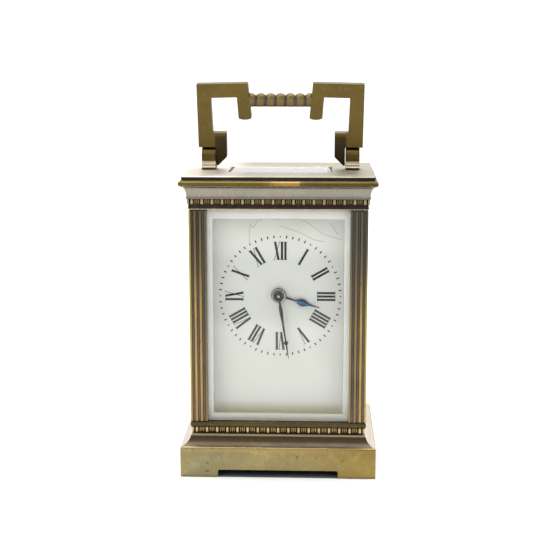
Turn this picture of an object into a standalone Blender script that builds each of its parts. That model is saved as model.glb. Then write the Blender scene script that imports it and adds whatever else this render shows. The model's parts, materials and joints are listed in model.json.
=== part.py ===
"""Carriage clock: glazed brass case on a bracket plinth, swing handle, rear door and eight-day movement.

Metres, +Z up, dial facing -Y, origin at the centre of the plinth's underside.
Every piece is one object; a moving piece has its origin, or its parent empty, on its joint's axis.
"""

from math import asin, atan2, cos, hypot, pi, radians, sin

import bmesh
import bpy
from mathutils import Vector
from mathutils.geometry import tessellate_polygon

MM = 0.001
GAP = 0.3 * MM            # between faces that touch on the bench
FIT = 0.05 * MM           # radial, where a piece is pressed on another

# Case: half sizes in X, levels in Z. Every moulding keeps the same setback on all four sides.
PLINTH_HALF = 43.0 * MM
DEPTH_LOSS = 7.0 * MM     # half depth = half width - DEPTH_LOSS
PLINTH_WALL = 4.0 * MM
PLINTH_TOP = 13.6 * MM
FOOT_HALF_GAP = 26.4 * MM
FOOT_HEIGHT = 3.4 * MM
BASE_BAND_HALF = 38.3 * MM
BASE_BAND_BOTTOM = 18.8 * MM
BASE_PLATE_HALF = 38.7 * MM
BASE_PLATE_BOTTOM = 21.75 * MM
BASE_PLATE_TOP = 24.05 * MM
ARCHITRAVE_BOTTOM = 118.4 * MM
ARCHITRAVE_STEP = 120.6 * MM
ARCHITRAVE_TOP = 123.0 * MM
CASE_INNER_HALF = 30.6 * MM
CORNICE_HALF = 42.55 * MM
CORNICE_COVE_LOW = 123.9 * MM
CORNICE_COVE_HIGH = 129.0 * MM
CORNICE_EDGE_TOP = 130.9 * MM
CORNICE_TOP = 131.3 * MM
TOP_PLATE_HALF = 41.35 * MM
TOP_PLATE_TOP = 133.1 * MM
REED_PITCH = 4.4 * MM
REED_DEPTH = 0.75 * MM

# Pillars
PILLAR_SIDE = 7.6 * MM
PILLAR_HALF = 38.6 * MM   # to the outer face
FLUTE_WIDTH = 1.7 * MM
FLUTE_DEPTH = 0.5 * MM
FLUTE_EDGE = 0.9 * MM
SLOT_NEAR = 1.4 * MM
SLOT_FAR = 4.1 * MM
SLOT_DEPTH = 1.4 * MM
TENON_RADIUS = 1.5 * MM
TENON_LENGTH = 1.9 * MM

# Glasses
GLASS_EDGE = 1.9 * MM
GLASS_MIDDLE = 2.8 * MM
GLASS_BEVEL = 3.6 * MM
WINDOW_HALF_X = 23.0 * MM
WINDOW_HALF_Y = 15.5 * MM
WINDOW_CORNER = 2.5 * MM

# Rear door
DOOR_HALF = 30.1 * MM
DOOR_CLEARANCE = 0.5 * MM
DOOR_BACK = 31.1 * MM
DOOR_THICKNESS = 3.2 * MM
DOOR_STILE = 4.5 * MM
HINGE_X = 28.6 * MM
HINGE_Y = 29.5 * MM
HINGE_PIN_RADIUS = 0.8 * MM
KNOB_X = -27.8 * MM
KNOB_Z = 71.0 * MM

# Handle
HANDLE_LEAN = radians(8.0)
HANDLE_THICKNESS = 4.9 * MM
PIVOT_HEIGHT = 5.6 * MM   # above the top plate
POST_CENTRE = 32.2 * MM
POST_WIDTH = 6.2 * MM
POST_RADIUS = 4.0 * MM
POST_FOOT = 4.6 * MM
GRIP_HALF = 13.1 * MM
GRIP_BOTTOM = 28.5 * MM
GRIP_TOP = 34.3 * MM
GRIP_PITCH = 4.35 * MM
GRIP_GROOVE = 1.2 * MM
GRIP_CRESTS = 7

# Movement: the two plates, the arbors between them and the dial
CENTRE = (0.0, 80.0 * MM)
BARREL = (-3.0 * MM, 52.5 * MM)
CONTRATE = (-7.0 * MM, 96.5 * MM)
PLATE_HALF = 23.0 * MM
PLATE_TOP = 105.1 * MM
PLATE_THICKNESS = 1.5 * MM
FRONT_PLATE = -15.5 * MM  # front face
BACK_PLATE = 9.0 * MM     # front face
DIAL_FRONT = -23.8 * MM
DIAL_THICKNESS = 1.0 * MM
DIAL_HALF = 33.0 * MM
MOVEMENT_PILLARS = {"lower": 30.5 * MM, "upper": 99.0 * MM}
MOVEMENT_PILLAR_X = 19.5 * MM
MOVEMENT_PILLAR_RADIUS = 2.2 * MM
SEAT_Y = -2.5 * MM

# Going train: teeth and leaves, pitch radii
BARREL_TEETH, BARREL_PITCH = 48, 15.84 * MM
INTERMEDIATE_LEAVES, INTERMEDIATE_PINION = 6, 1.98 * MM
INTERMEDIATE_TEETH, INTERMEDIATE_PITCH = 30, 9.0 * MM
CENTRE_LEAVES, CENTRE_PINION = 6, 1.8 * MM
CENTRE_TEETH, CENTRE_PITCH = 48, 9.12 * MM
THIRD_LEAVES, THIRD_PINION = 6, 1.14 * MM
THIRD_TEETH, THIRD_PITCH = 45, 7.875 * MM
CONTRATE_LEAVES, CONTRATE_PINION = 6, 1.05 * MM
CONTRATE_TEETH, CONTRATE_PITCH = 60, 7.5 * MM
ESCAPE_LEAVES, ESCAPE_PINION = 6, 0.75 * MM
ESCAPE_TEETH, ESCAPE_RADIUS = 15, 4.0 * MM

# Motion work
MOTION_ANGLE = radians(-60.0)
CANNON_TEETH, CANNON_PITCH = 12, 1.8 * MM
MINUTE_TEETH, MINUTE_PITCH = 36, 5.4 * MM
MINUTE_LEAVES, MINUTE_PINION = 10, 1.44 * MM
HOUR_TEETH, HOUR_PITCH = 40, 5.76 * MM

# Hands: turned clockwise from twelve
HOUR_ANGLE = radians(106.5)
MINUTE_ANGLE = radians(171.0)
HOUR_BOSS = 3.3 * MM
MINUTE_BOSS = 2.5 * MM

# Platform escapement
PLATFORM_BOTTOM = 105.4 * MM
PLATFORM_TOP = 106.9 * MM
PLATFORM_Y = -2.5 * MM
LEVER_X = -0.2 * MM
BALANCE_X = 9.0 * MM
BALANCE_RADIUS = 7.2 * MM

AGED_BRASS = ((0.33, 0.27, 0.13), 0.38, 1.0, 1.0)
DARK_BRASS = ((0.20, 0.16, 0.08), 0.42, 1.0, 1.0)
GILT_BRASS = ((0.62, 0.47, 0.19), 0.28, 1.0, 1.0)
STEEL = ((0.52, 0.52, 0.53), 0.25, 1.0, 1.0)
BLUED_STEEL = ((0.03, 0.05, 0.16), 0.22, 1.0, 1.0)
ENAMEL = ((0.86, 0.87, 0.83), 0.15, 0.0, 1.0)
CLEAR_GLASS = ((0.92, 0.96, 0.95), 0.03, 0.0, 0.25)


# --- outlines -------------------------------------------------------------------------------------

def circle(radius, count=16, centre=(0.0, 0.0)):
    """Points of a regular polygon on a circle."""
    turn = 2 * pi / count
    return [(centre[0] + radius * cos(turn * i), centre[1] + radius * sin(turn * i)) for i in range(count)]


def rectangle(half_u, half_v, centre=(0.0, 0.0)):
    """Corners of a rectangle."""
    signs = ((-1, -1), (1, -1), (1, 1), (-1, 1))
    return [(centre[0] + su * half_u, centre[1] + sv * half_v) for su, sv in signs]


def rounded_rectangle(half_u, half_v, corner, steps=4):
    """Rectangle with round corners."""
    points = []
    for quarter, (su, sv) in enumerate(((1, 1), (-1, 1), (-1, -1), (1, -1))):
        for step in range(steps + 1):
            angle = (quarter + step / steps) * pi / 2
            u = su * (half_u - corner) + corner * cos(angle)
            v = sv * (half_v - corner) + corner * sin(angle)
            points.append((u, v))
    return points


def toothed_wheel(teeth, pitch_radius, angle, centre=(0.0, 0.0)):
    """Wheel outline with plain pointed teeth; one tooth points along the angle."""
    module = 2 * pitch_radius / teeth
    points = []
    for index in range(2 * teeth):
        radius = pitch_radius + (0.5 * module if index % 2 == 0 else -1.0 * module)
        turn = angle + index * pi / teeth
        points.append((centre[0] + radius * cos(turn), centre[1] + radius * sin(turn)))
    return points


def leaf_pinion(leaves, pitch_radius, angle, centre=(0.0, 0.0)):
    """Pinion outline with thin flat-topped leaves; one leaf points along the angle."""
    module = 2 * pitch_radius / leaves
    root, tip = pitch_radius - 0.9 * module, pitch_radius + 0.5 * module
    points = []
    for index in range(leaves):
        turn = angle + index * 2 * pi / leaves
        for radius, offset in ((root, -0.45), (tip, -0.25), (tip, 0.25), (root, 0.45)):
            aside = offset * module
            points.append((centre[0] + radius * cos(turn) - aside * sin(turn),
                           centre[1] + radius * sin(turn) + aside * cos(turn)))
    return points


def crossings(inner, outer, centre=(0.0, 0.0), arms=4, arm_half=0.8 * MM, steps=3):
    """Openings between the arms of a crossed-out wheel."""
    openings = []
    for arm in range(arms):
        start, end = arm * 2 * pi / arms, (arm + 1) * 2 * pi / arms
        points = []
        for radius, forward in ((outer, True), (inner, False)):
            margin = asin(arm_half / radius)
            for step in range(steps + 1):
                part = step / steps if forward else 1 - step / steps
                turn = start + margin + part * (end - start - 2 * margin)
                points.append((centre[0] + radius * cos(turn), centre[1] + radius * sin(turn)))
        openings.append(points)
    return openings


def reeded_rectangle(half_u, half_v):
    """Rectangle whose four sides carry a row of small vertical reeds."""
    points = []
    corners = rectangle(half_u, half_v)
    for (u0, v0), (u1, v1) in zip(corners, corners[1:] + corners[:1]):
        length = hypot(u1 - u0, v1 - v0)
        along = ((u1 - u0) / length, (v1 - v0) / length)
        inward = (-along[1], along[0])
        count = round(length / REED_PITCH)
        pitch = length / count
        points.append((u0, v0))
        for index in range(1, count):
            for place, sunk in ((index, REED_DEPTH), (index + 0.5, 0.0)):
                if place < count - 0.6:
                    points.append((u0 + along[0] * place * pitch + inward[0] * sunk,
                                   v0 + along[1] * place * pitch + inward[1] * sunk))
    return points


def mirrored(points, sign_u, sign_v):
    """Outline reflected in one or both axes."""
    return [(sign_u * u, sign_v * v) for u, v in points]


def meeting_point(a, distance_a, b, distance_b, side):
    """Point at the given distances from two arbors, on one side of the line between them."""
    span = hypot(b[0] - a[0], b[1] - a[1])
    along = ((b[0] - a[0]) / span, (b[1] - a[1]) / span)
    run = (distance_a ** 2 - distance_b ** 2 + span ** 2) / (2 * span)
    rise = side * (distance_a ** 2 - run ** 2) ** 0.5
    return a[0] + run * along[0] + rise * along[1], a[1] + run * along[1] - rise * along[0]


def heading(a, b):
    """Direction from one arbor to another."""
    return atan2(b[1] - a[1], b[0] - a[0])


# --- solids ---------------------------------------------------------------------------------------

def placed(axis, u, v, along):
    """World point of plane coordinates (u, v) at a position along an axis."""
    if axis == "X":
        return Vector((along, u, v))
    if axis == "Y":
        return Vector((u, along, v))
    return Vector((u, v, along))


def inside(point, loop):
    """Whether a point lies inside a closed outline."""
    hit = False
    for (u0, v0), (u1, v1) in zip(loop, loop[1:] + loop[:1]):
        if (v0 > point[1]) != (v1 > point[1]):
            if point[0] < u0 + (point[1] - v0) / (v1 - v0) * (u1 - u0):
                hit = not hit
    return hit


def fill(bm, rings):
    """Faces between nested outlines, filled where the nesting depth is even."""
    depth = [sum(inside(loop[0], other) for other, _ in rings if other is not loop) for loop, _ in rings]
    for index, (outer, outer_verts) in enumerate(rings):
        if depth[index] % 2:
            continue
        group = [(outer, outer_verts)]
        for number, (loop, verts) in enumerate(rings):
            if depth[number] == depth[index] + 1 and inside(loop[0], outer):
                group.append((loop, verts))
        flat = [[Vector((u, v, 0.0)) for u, v in loop] for loop, _ in group]
        corners = [vert for _, verts in group for vert in verts]
        for triangle in tessellate_polygon(flat):
            bm.faces.new([corners[corner] for corner in triangle])


def stack(axis, levels):
    """Closed solid from slabs along an axis: (start, end, outlines), each slab starting where the last ends.

    An outline that stays the same object from one slab to the next runs on without a face between.
    """
    bm = bmesh.new()
    ends = {}
    previous = []

    def ring(loop, along):
        return [bm.verts.new(placed(axis, u, v, along)) for u, v in loop]

    for start, end, loops in levels:
        kept = {id(loop) for loop in loops} & {id(loop) for loop in previous}
        closing = [(loop, ends[id(loop)]) for loop in previous if id(loop) not in kept]
        opening = [(loop, ring(loop, start)) for loop in loops if id(loop) not in kept]
        fill(bm, closing + opening)
        ends.update({id(loop): verts for loop, verts in opening})
        for loop in loops:
            near, far = ends[id(loop)], ring(loop, end)
            for index in range(len(loop)):
                following = (index + 1) % len(loop)
                bm.faces.new((near[index], near[following], far[following], far[index]))
            ends[id(loop)] = far
        previous = loops
    fill(bm, [(loop, ends[id(loop)]) for loop in previous])
    return bm


def loft(axis, sections, ring=False):
    """Solid through equal outlines, (position, outline); a ring joins the last section to the first."""
    bm = bmesh.new()
    rows = [[bm.verts.new(placed(axis, u, v, along)) for u, v in outline] for along, outline in sections]
    pairs = list(zip(rows, rows[1:] + rows[:1])) if ring else list(zip(rows, rows[1:]))
    for low, high in pairs:
        for index in range(len(low)):
            following = (index + 1) % len(low)
            bm.faces.new((low[index], low[following], high[following], high[index]))
    if not ring:
        bm.faces.new(rows[0])
        bm.faces.new(rows[-1])
    return bm


def moulding(profile, axis="Z", centre=(0.0, 0.0)):
    """Rectangular frame whose cross-section is the closed profile of (half_u, half_v, position)."""
    return loft(axis, [(along, rectangle(u, v, centre)) for u, v, along in profile], ring=True)


def turned(axis, centre, profile, count=16):
    """Solid of revolution about an axis; the profile is (radius, position) from end to end."""
    return loft(axis, [(along, circle(radius, count, centre)) for radius, along in profile])


def strip(axis, path, thickness, low, high):
    """Thin band standing on edge along an open path."""
    left, right = [], []
    for index, (u, v) in enumerate(path):
        before = path[max(index - 1, 0)]
        after = path[min(index + 1, len(path) - 1)]
        length = hypot(after[0] - before[0], after[1] - before[1])
        across = (-(after[1] - before[1]) / length, (after[0] - before[0]) / length)
        left.append((u + across[0] * thickness / 2, v + across[1] * thickness / 2))
        right.append((u - across[0] * thickness / 2, v - across[1] * thickness / 2))
    bm = bmesh.new()
    rows = []
    for a, b in zip(left, right):
        corners = ((a, low), (b, low), (b, high), (a, high))
        rows.append([bm.verts.new(placed(axis, *point, along)) for point, along in corners])
    for near, far in zip(rows, rows[1:]):
        for index in range(4):
            following = (index + 1) % 4
            bm.faces.new((near[index], near[following], far[following], far[index]))
    bm.faces.new(rows[0])
    bm.faces.new(rows[-1])
    return bm


def spiral(inner, outer, turns, steps, centre):
    """Points along a flat spiral."""
    total = turns * steps
    points = []
    for index in range(total + 1):
        radius = inner + (outer - inner) * index / total
        turn = 2 * pi * index / steps
        points.append((centre[0] + radius * cos(turn), centre[1] + radius * sin(turn)))
    return points


def piece(name, bm, finish, origin=(0.0, 0.0, 0.0), parent=None, smooth=True):
    """Object of one piece, with its own origin, its material and, under a parent, the parent's frame."""
    bmesh.ops.recalc_face_normals(bm, faces=bm.faces)
    bmesh.ops.translate(bm, verts=bm.verts, vec=-Vector(origin))
    mesh = bpy.data.meshes.new(name)
    bm.to_mesh(mesh)
    bm.free()
    thing = bpy.data.objects.new(name, mesh)
    bpy.context.collection.objects.link(thing)
    thing.location = origin
    if parent:
        thing.location = Vector(origin) - parent.location
        thing.parent = parent
    if finish:
        mesh.materials.append(material(name, finish))
    if smooth:
        mesh.shade_smooth()
        mesh.set_sharp_from_angle(angle=radians(30))
    return thing


def material(name, finish):
    """Principled material of one piece."""
    colour, roughness, metallic, alpha = finish
    result = bpy.data.materials.new(name)
    result.use_nodes = True
    shader = result.node_tree.nodes["Principled BSDF"]
    shader.inputs["Base Color"].default_value = (*colour, 1.0)
    shader.inputs["Roughness"].default_value = roughness
    shader.inputs["Metallic"].default_value = metallic
    shader.inputs["Alpha"].default_value = alpha
    return result


def combine(target, tool_bm, operation):
    """Boolean of a piece with a tool in the piece's own frame."""
    tool = piece("tool", tool_bm, None, smooth=False)
    tool.matrix_world = target.matrix_basis
    modifier = target.modifiers.new(operation.lower(), "BOOLEAN")
    modifier.object = tool
    modifier.operation = operation
    modifier.solver = "EXACT"
    parent = target.parent
    target.parent = None
    bpy.context.view_layer.update()
    graph = bpy.context.evaluated_depsgraph_get()
    result = bpy.data.meshes.new_from_object(target.evaluated_get(graph))
    target.modifiers.clear()
    target.data = result
    target.parent = parent
    bpy.data.objects.remove(tool)


def drill(target, axis, centre, radius, start, end, count=16):
    """Round hole, given in the piece's own frame."""
    combine(target, turned(axis, centre, ((radius, start), (radius, end)), count), "DIFFERENCE")


# --- case -----------------------------------------------------------------------------------------

def depth(half_width):
    """Half depth of the case where its half width is given."""
    return half_width - DEPTH_LOSS


def cove(low_half, low_z, high_half, high_z, steps=5, opens_up=False):
    """Hollow quarter curve between two levels of a moulding."""
    points = []
    for step in range(steps + 1):
        turn = step / steps * pi / 2
        across, up = (1 - cos(turn), sin(turn)) if opens_up else (sin(turn), 1 - cos(turn))
        half = low_half + (high_half - low_half) * across
        points.append((half, depth(half), low_z + (high_z - low_z) * up))
    return points


def level(half_width, z):
    """One corner of a moulding's profile."""
    return half_width, depth(half_width), z


def make_plinth():
    inner = PLINTH_HALF - PLINTH_WALL
    ledge = BASE_BAND_HALF - 5.0 * MM
    top = BASE_BAND_BOTTOM - GAP
    profile = [level(inner, 0.0), level(PLINTH_HALF, 0.0), level(PLINTH_HALF, PLINTH_TOP - 0.4 * MM),
               level(PLINTH_HALF - 0.4 * MM, PLINTH_TOP)]
    profile += cove(PLINTH_HALF - 0.9 * MM, PLINTH_TOP, BASE_BAND_HALF, top - 0.4 * MM)
    profile += [level(BASE_BAND_HALF, top), level(ledge, top),
                level(ledge, PLINTH_TOP + 1.5 * MM), level(inner, PLINTH_TOP - 1.0 * MM)]
    plinth = piece("base_plinth", moulding(profile), AGED_BRASS, smooth=False)
    reach = 50 * MM
    for half_x, half_y in ((FOOT_HALF_GAP, reach), (reach, FOOT_HALF_GAP - DEPTH_LOSS)):
        slope = 0.5 * MM
        arch = loft("Z", [(-MM, rectangle(half_x, half_y)),
                          (FOOT_HEIGHT - slope, rectangle(half_x, half_y)),
                          (FOOT_HEIGHT, rectangle(half_x - slope, half_y - slope))])
        combine(plinth, arch, "DIFFERENCE")


def tenon_spots():
    """Centres of the tenons that join the pillars to the frames above and below."""
    u, v = PILLAR_HALF - PILLAR_SIDE / 2, depth(PILLAR_HALF) - PILLAR_SIDE / 2
    return [(su * u, sv * v) for su, sv in ((-1, -1), (1, -1), (-1, 1), (1, 1))]


def tenon_holes():
    return [circle(TENON_RADIUS + FIT, 12, spot) for spot in tenon_spots()]


def hinge_hole():
    return circle(HINGE_PIN_RADIUS + 2 * FIT, 12, (HINGE_X, HINGE_Y))


def make_base():
    half = BASE_BAND_HALF
    inner = rectangle(half - 5.0 * MM, depth(half) - 5.0 * MM)
    band = stack("Z", [(BASE_BAND_BOTTOM, BASE_PLATE_BOTTOM - GAP,
                        [reeded_rectangle(half, depth(half)), inner])])
    piece("base_reeded_band", band, AGED_BRASS, smooth=False)
    seats = [circle(1.3 * MM, 12, (x, SEAT_Y)) for x in (-MOVEMENT_PILLAR_X, MOVEMENT_PILLAR_X)]
    outline = rectangle(BASE_PLATE_HALF, depth(BASE_PLATE_HALF))
    holes = tenon_holes() + seats + [hinge_hole()]
    piece("base_plate", stack("Z", [(BASE_PLATE_BOTTOM, BASE_PLATE_TOP, [outline] + holes)]),
          AGED_BRASS, smooth=False)


def pillar_outline():
    """Section of the pillar whose outer corner is at the origin, fluted outside, slotted for the glasses."""
    flute_space = (PILLAR_SIDE - 2 * FLUTE_EDGE - 3 * FLUTE_WIDTH) / 2
    flutes = []
    for index in range(3):
        start = FLUTE_EDGE + index * (FLUTE_WIDTH + flute_space)
        for share, sunk in ((0.0, 0.0), (0.25, FLUTE_DEPTH), (0.75, FLUTE_DEPTH), (1.0, 0.0)):
            flutes.append((start + share * FLUTE_WIDTH, sunk))
    side, slot = PILLAR_SIDE, PILLAR_SIDE - SLOT_DEPTH
    front_slot = [(side, 0.0), (side, SLOT_NEAR), (slot, SLOT_NEAR), (slot, SLOT_FAR), (side, SLOT_FAR)]
    outline = [(0.0, 0.0)] + flutes + front_slot + [(side, side)]
    outline += [(v, u) for u, v in reversed(front_slot)]
    outline += [(v, u) for u, v in reversed(flutes)]
    return outline


def make_pillars():
    low, high = BASE_PLATE_TOP + GAP, ARCHITRAVE_BOTTOM - GAP
    corner_u, corner_v = PILLAR_HALF, depth(PILLAR_HALF)
    names = ("pillar_front_left", "pillar_front_right", "pillar_rear_left", "pillar_rear_right")
    for name, spot in zip(names, tenon_spots()):
        su, sv = (1 if spot[0] < 0 else -1), (1 if spot[1] < 0 else -1)
        section = [(u - su * corner_u, v - sv * corner_v) for u, v in mirrored(pillar_outline(), su, sv)]
        tenon = circle(TENON_RADIUS, 12, spot)
        body = stack("Z", [(low - TENON_LENGTH, low, [tenon]), (low, high, [section]),
                           (high, high + TENON_LENGTH, [tenon])])
        piece(name, body, DARK_BRASS, smooth=False)


def make_architrave():
    lower, upper = BASE_PLATE_HALF, 39.5 * MM
    inner = rectangle(CASE_INNER_HALF, depth(CASE_INNER_HALF))
    holes = tenon_holes() + [hinge_hole()]
    levels = [(ARCHITRAVE_BOTTOM, ARCHITRAVE_STEP, [rectangle(lower, depth(lower)), inner] + holes),
              (ARCHITRAVE_STEP, ARCHITRAVE_TOP, [reeded_rectangle(upper, depth(upper)), inner])]
    piece("architrave_reeded_band", stack("Z", levels), AGED_BRASS, smooth=False)


def make_cornice():
    bottom, floor, deck = ARCHITRAVE_TOP + GAP, 130.3 * MM, 128.6 * MM
    pocket = (WINDOW_HALF_X + GAP, WINDOW_HALF_Y + GAP)
    opening = (20.5 * MM, 13.0 * MM)
    profile = [level(CASE_INNER_HALF, bottom), level(39.6 * MM, bottom), level(39.6 * MM, CORNICE_COVE_LOW)]
    profile += cove(39.3 * MM, CORNICE_COVE_LOW, 41.9 * MM, CORNICE_COVE_HIGH, opens_up=True)
    profile += [level(CORNICE_HALF, CORNICE_COVE_HIGH), level(CORNICE_HALF, CORNICE_EDGE_TOP),
                level(41.7 * MM, CORNICE_TOP), (*pocket, CORNICE_TOP), (*pocket, floor),
                (*opening, floor), (*opening, deck), level(CASE_INNER_HALF, deck)]
    piece("cornice_frame", moulding(profile), AGED_BRASS, smooth=False)


def make_top():
    outline = rounded_rectangle(TOP_PLATE_HALF, depth(TOP_PLATE_HALF), 0.6 * MM, 2)
    window = rounded_rectangle(WINDOW_HALF_X, WINDOW_HALF_Y, WINDOW_CORNER)
    holes = [circle(TENON_RADIUS + FIT, 12, (side * POST_CENTRE, 0.0)) for side in (-1, 1)]
    slab = stack("Z", [(CORNICE_TOP + GAP, TOP_PLATE_TOP, [outline, window] + holes)])
    piece("top_plate", slab, AGED_BRASS, smooth=False)
    half_x, half_y = WINDOW_HALF_X - GAP, WINDOW_HALF_Y - GAP
    sections = [(130.6 * MM, rounded_rectangle(half_x, half_y, WINDOW_CORNER)),
                (132.3 * MM, rounded_rectangle(half_x, half_y, WINDOW_CORNER)),
                (132.8 * MM, rounded_rectangle(half_x - 1.5 * MM, half_y - 1.5 * MM, 1.5 * MM))]
    piece("top_glass", loft("Z", sections), CLEAR_GLASS, smooth=False)


def glass(name, axis, half_width, face, outward):
    """Bevelled case glass; outward is the side of the axis that it faces."""
    low, high = BASE_PLATE_TOP + GAP, ARCHITRAVE_BOTTOM - GAP
    middle, half_height = (low + high) / 2, (high - low) / 2
    centre = (0.0, middle)
    edge = face - outward * (GLASS_MIDDLE - GLASS_EDGE)
    back = face - outward * GLASS_MIDDLE
    inset = (half_width - GLASS_BEVEL, half_height - GLASS_BEVEL)
    sections = [(back, rectangle(half_width, half_height, centre)),
                (edge, rectangle(half_width, half_height, centre)),
                (face, rectangle(*inset, centre))]
    piece(name, loft(axis, sections), CLEAR_GLASS, smooth=False)


def make_glasses():
    reach = PILLAR_HALF - PILLAR_SIDE + SLOT_DEPTH - GAP
    proud = SLOT_FAR - GAP - GLASS_MIDDLE
    glass("front_glass", "Y", reach, -depth(PILLAR_HALF) + proud, -1)
    glass("side_glass_left", "X", depth(reach), -PILLAR_HALF + proud, -1)
    glass("side_glass_right", "X", depth(reach), PILLAR_HALF - proud, 1)


# --- rear door ------------------------------------------------------------------------------------

def make_door():
    low, high = BASE_PLATE_TOP + DOOR_CLEARANCE, ARCHITRAVE_BOTTOM - DOOR_CLEARANCE
    middle, half_height = (low + high) / 2, (high - low) / 2
    front, lip = DOOR_BACK - DOOR_THICKNESS, DOOR_BACK - 0.9 * MM
    light = (DOOR_HALF - DOOR_STILE, half_height - DOOR_STILE)
    rebate = (light[0] + 1.5 * MM, light[1] + 1.5 * MM)
    profile = [(*rebate, front), (DOOR_HALF, half_height, front), (DOOR_HALF, half_height, DOOR_BACK),
               (*light, DOOR_BACK), (*light, lip), (*rebate, lip)]
    hinge = (HINGE_X, HINGE_Y, middle)
    frame = piece("door_frame", moulding(profile, "Y", (0.0, middle)), AGED_BRASS, hinge, smooth=False)
    pin_depth = 3.0 * MM
    top = half_height
    for start, end in ((-top - MM, -top + pin_depth), (top - pin_depth, top + MM)):
        drill(frame, "Z", (0.0, 0.0), HINGE_PIN_RADIUS + FIT, start, end, 12)
    knob_hole = DOOR_BACK - 2 * MM - HINGE_Y
    drill(frame, "Y", (KNOB_X - HINGE_X, KNOB_Z - middle), 0.85 * MM, knob_hole, 3 * MM, 12)
    edge = (rebate[0] - GAP, rebate[1] - GAP)
    centre = (0.0, middle)
    pane = loft("Y", [(front, rectangle(*edge, centre)), (lip - GAP - 0.4 * MM, rectangle(*edge, centre)),
                      (lip - GAP, rectangle(edge[0] - 1.2 * MM, edge[1] - 1.2 * MM, centre))])
    piece("door_glass", pane, CLEAR_GLASS, hinge, smooth=False)
    for name, end, inner in (("door_hinge_pin_lower", low - 1.8 * MM, low + pin_depth - GAP),
                             ("door_hinge_pin_upper", high + 1.8 * MM, high - pin_depth + GAP)):
        pin = turned("Z", (HINGE_X, HINGE_Y), ((HINGE_PIN_RADIUS, end), (HINGE_PIN_RADIUS, inner)), 12)
        piece(name, pin, STEEL, (HINGE_X, HINGE_Y, (end + inner) / 2))
    knob = [(0.8, DOOR_BACK - 1.7 * MM), (0.8, DOOR_BACK + GAP), (1.9, DOOR_BACK + GAP),
            (1.9, DOOR_BACK + 0.8 * MM), (1.0, DOOR_BACK + 1.2 * MM), (1.0, DOOR_BACK + 1.8 * MM),
            (2.1, DOOR_BACK + 2.5 * MM), (2.5, DOOR_BACK + 3.4 * MM), (2.1, DOOR_BACK + 4.3 * MM),
            (1.0, DOOR_BACK + 4.7 * MM)]
    profile = [(radius * MM, along) for radius, along in knob]
    piece("door_knob", turned("Y", (KNOB_X, KNOB_Z), profile, 12), GILT_BRASS, hinge)


# --- handle ---------------------------------------------------------------------------------------

def post_profile():
    """Side of a handle post: flared foot, straight sides, top rounded about the pivot."""
    half = [(POST_FOOT, 0.0), (POST_FOOT, 0.8 * MM)]
    for step in range(4):
        turn = step / 3 * pi / 2
        half.append((POST_RADIUS + 0.5 * MM * (1 - sin(turn)), 0.8 * MM + 2.6 * MM * (1 - cos(turn))))
    for step in range(5):
        turn = step / 4 * pi / 2
        half.append((POST_RADIUS * cos(turn), PIVOT_HEIGHT + POST_RADIUS * sin(turn)))
    return half + [(-u, v) for u, v in reversed(half[:-1])]


def make_posts():
    for name, side in (("left", -1), ("right", 1)):
        outer, inner = side * (POST_CENTRE + POST_WIDTH / 2), side * (POST_CENTRE - POST_WIDTH / 2)
        base = TOP_PLATE_TOP + GAP
        outline = [(u, base + v) for u, v in post_profile()]
        post = piece("handle_post_" + name, stack("X", [(outer, inner, [outline])]), AGED_BRASS)
        tenon = turned("Z", (side * POST_CENTRE, 0.0), ((TENON_RADIUS, base - 1.2 * MM),
                                                        (TENON_RADIUS, base + MM)), 12)
        combine(post, tenon, "UNION")
        pivot = (0.0, TOP_PLATE_TOP + PIVOT_HEIGHT)
        head_depth = 1.2 * MM
        drill(post, "X", pivot, 1.3 * MM, outer + side * MM, inner - side * MM)
        drill(post, "X", pivot, 2.3 * MM, outer + side * MM, outer - side * head_depth)
        shoulder = outer - side * (head_depth - 0.15 * MM)
        tip = side * (POST_CENTRE - POST_WIDTH / 2) - side * 2.6 * MM
        screw = stack("X", [(outer, shoulder, [circle(2.15 * MM, 16, pivot)]),
                            (shoulder, tip, [circle(1.2 * MM, 16, pivot)])])
        body = piece("handle_screw_" + name, screw, STEEL, (outer, *pivot))
        slot = rectangle(2.5 * MM, 0.25 * MM)
        cutter = stack("X", [(-side * 0.4 * MM, side * MM, [slot])])
        combine(body, cutter, "DIFFERENCE")


def arm_outline():
    """Left handle arm seen from the front, heights above the top plate."""
    drop = []
    for step in range(5):
        turn = step / 4 * pi
        drop.append((-15.75 + 2.9 * cos(turn), 23.6 - 0.9 * sin(turn)))
    points = [(-36.7, 10.2), (-37.1, 38.5), (-14.4, 39.0)]
    points += drop
    points += [(-19.3, 32.7), (-30.8, 32.4), (-30.2, 16.8), (-24.1, 16.8),
               (-24.1, 5.8), (-28.0, 2.0), (-28.8, 2.0), (-28.8, 10.2)]
    return [(u * MM, v * MM) for u, v in points]


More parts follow.
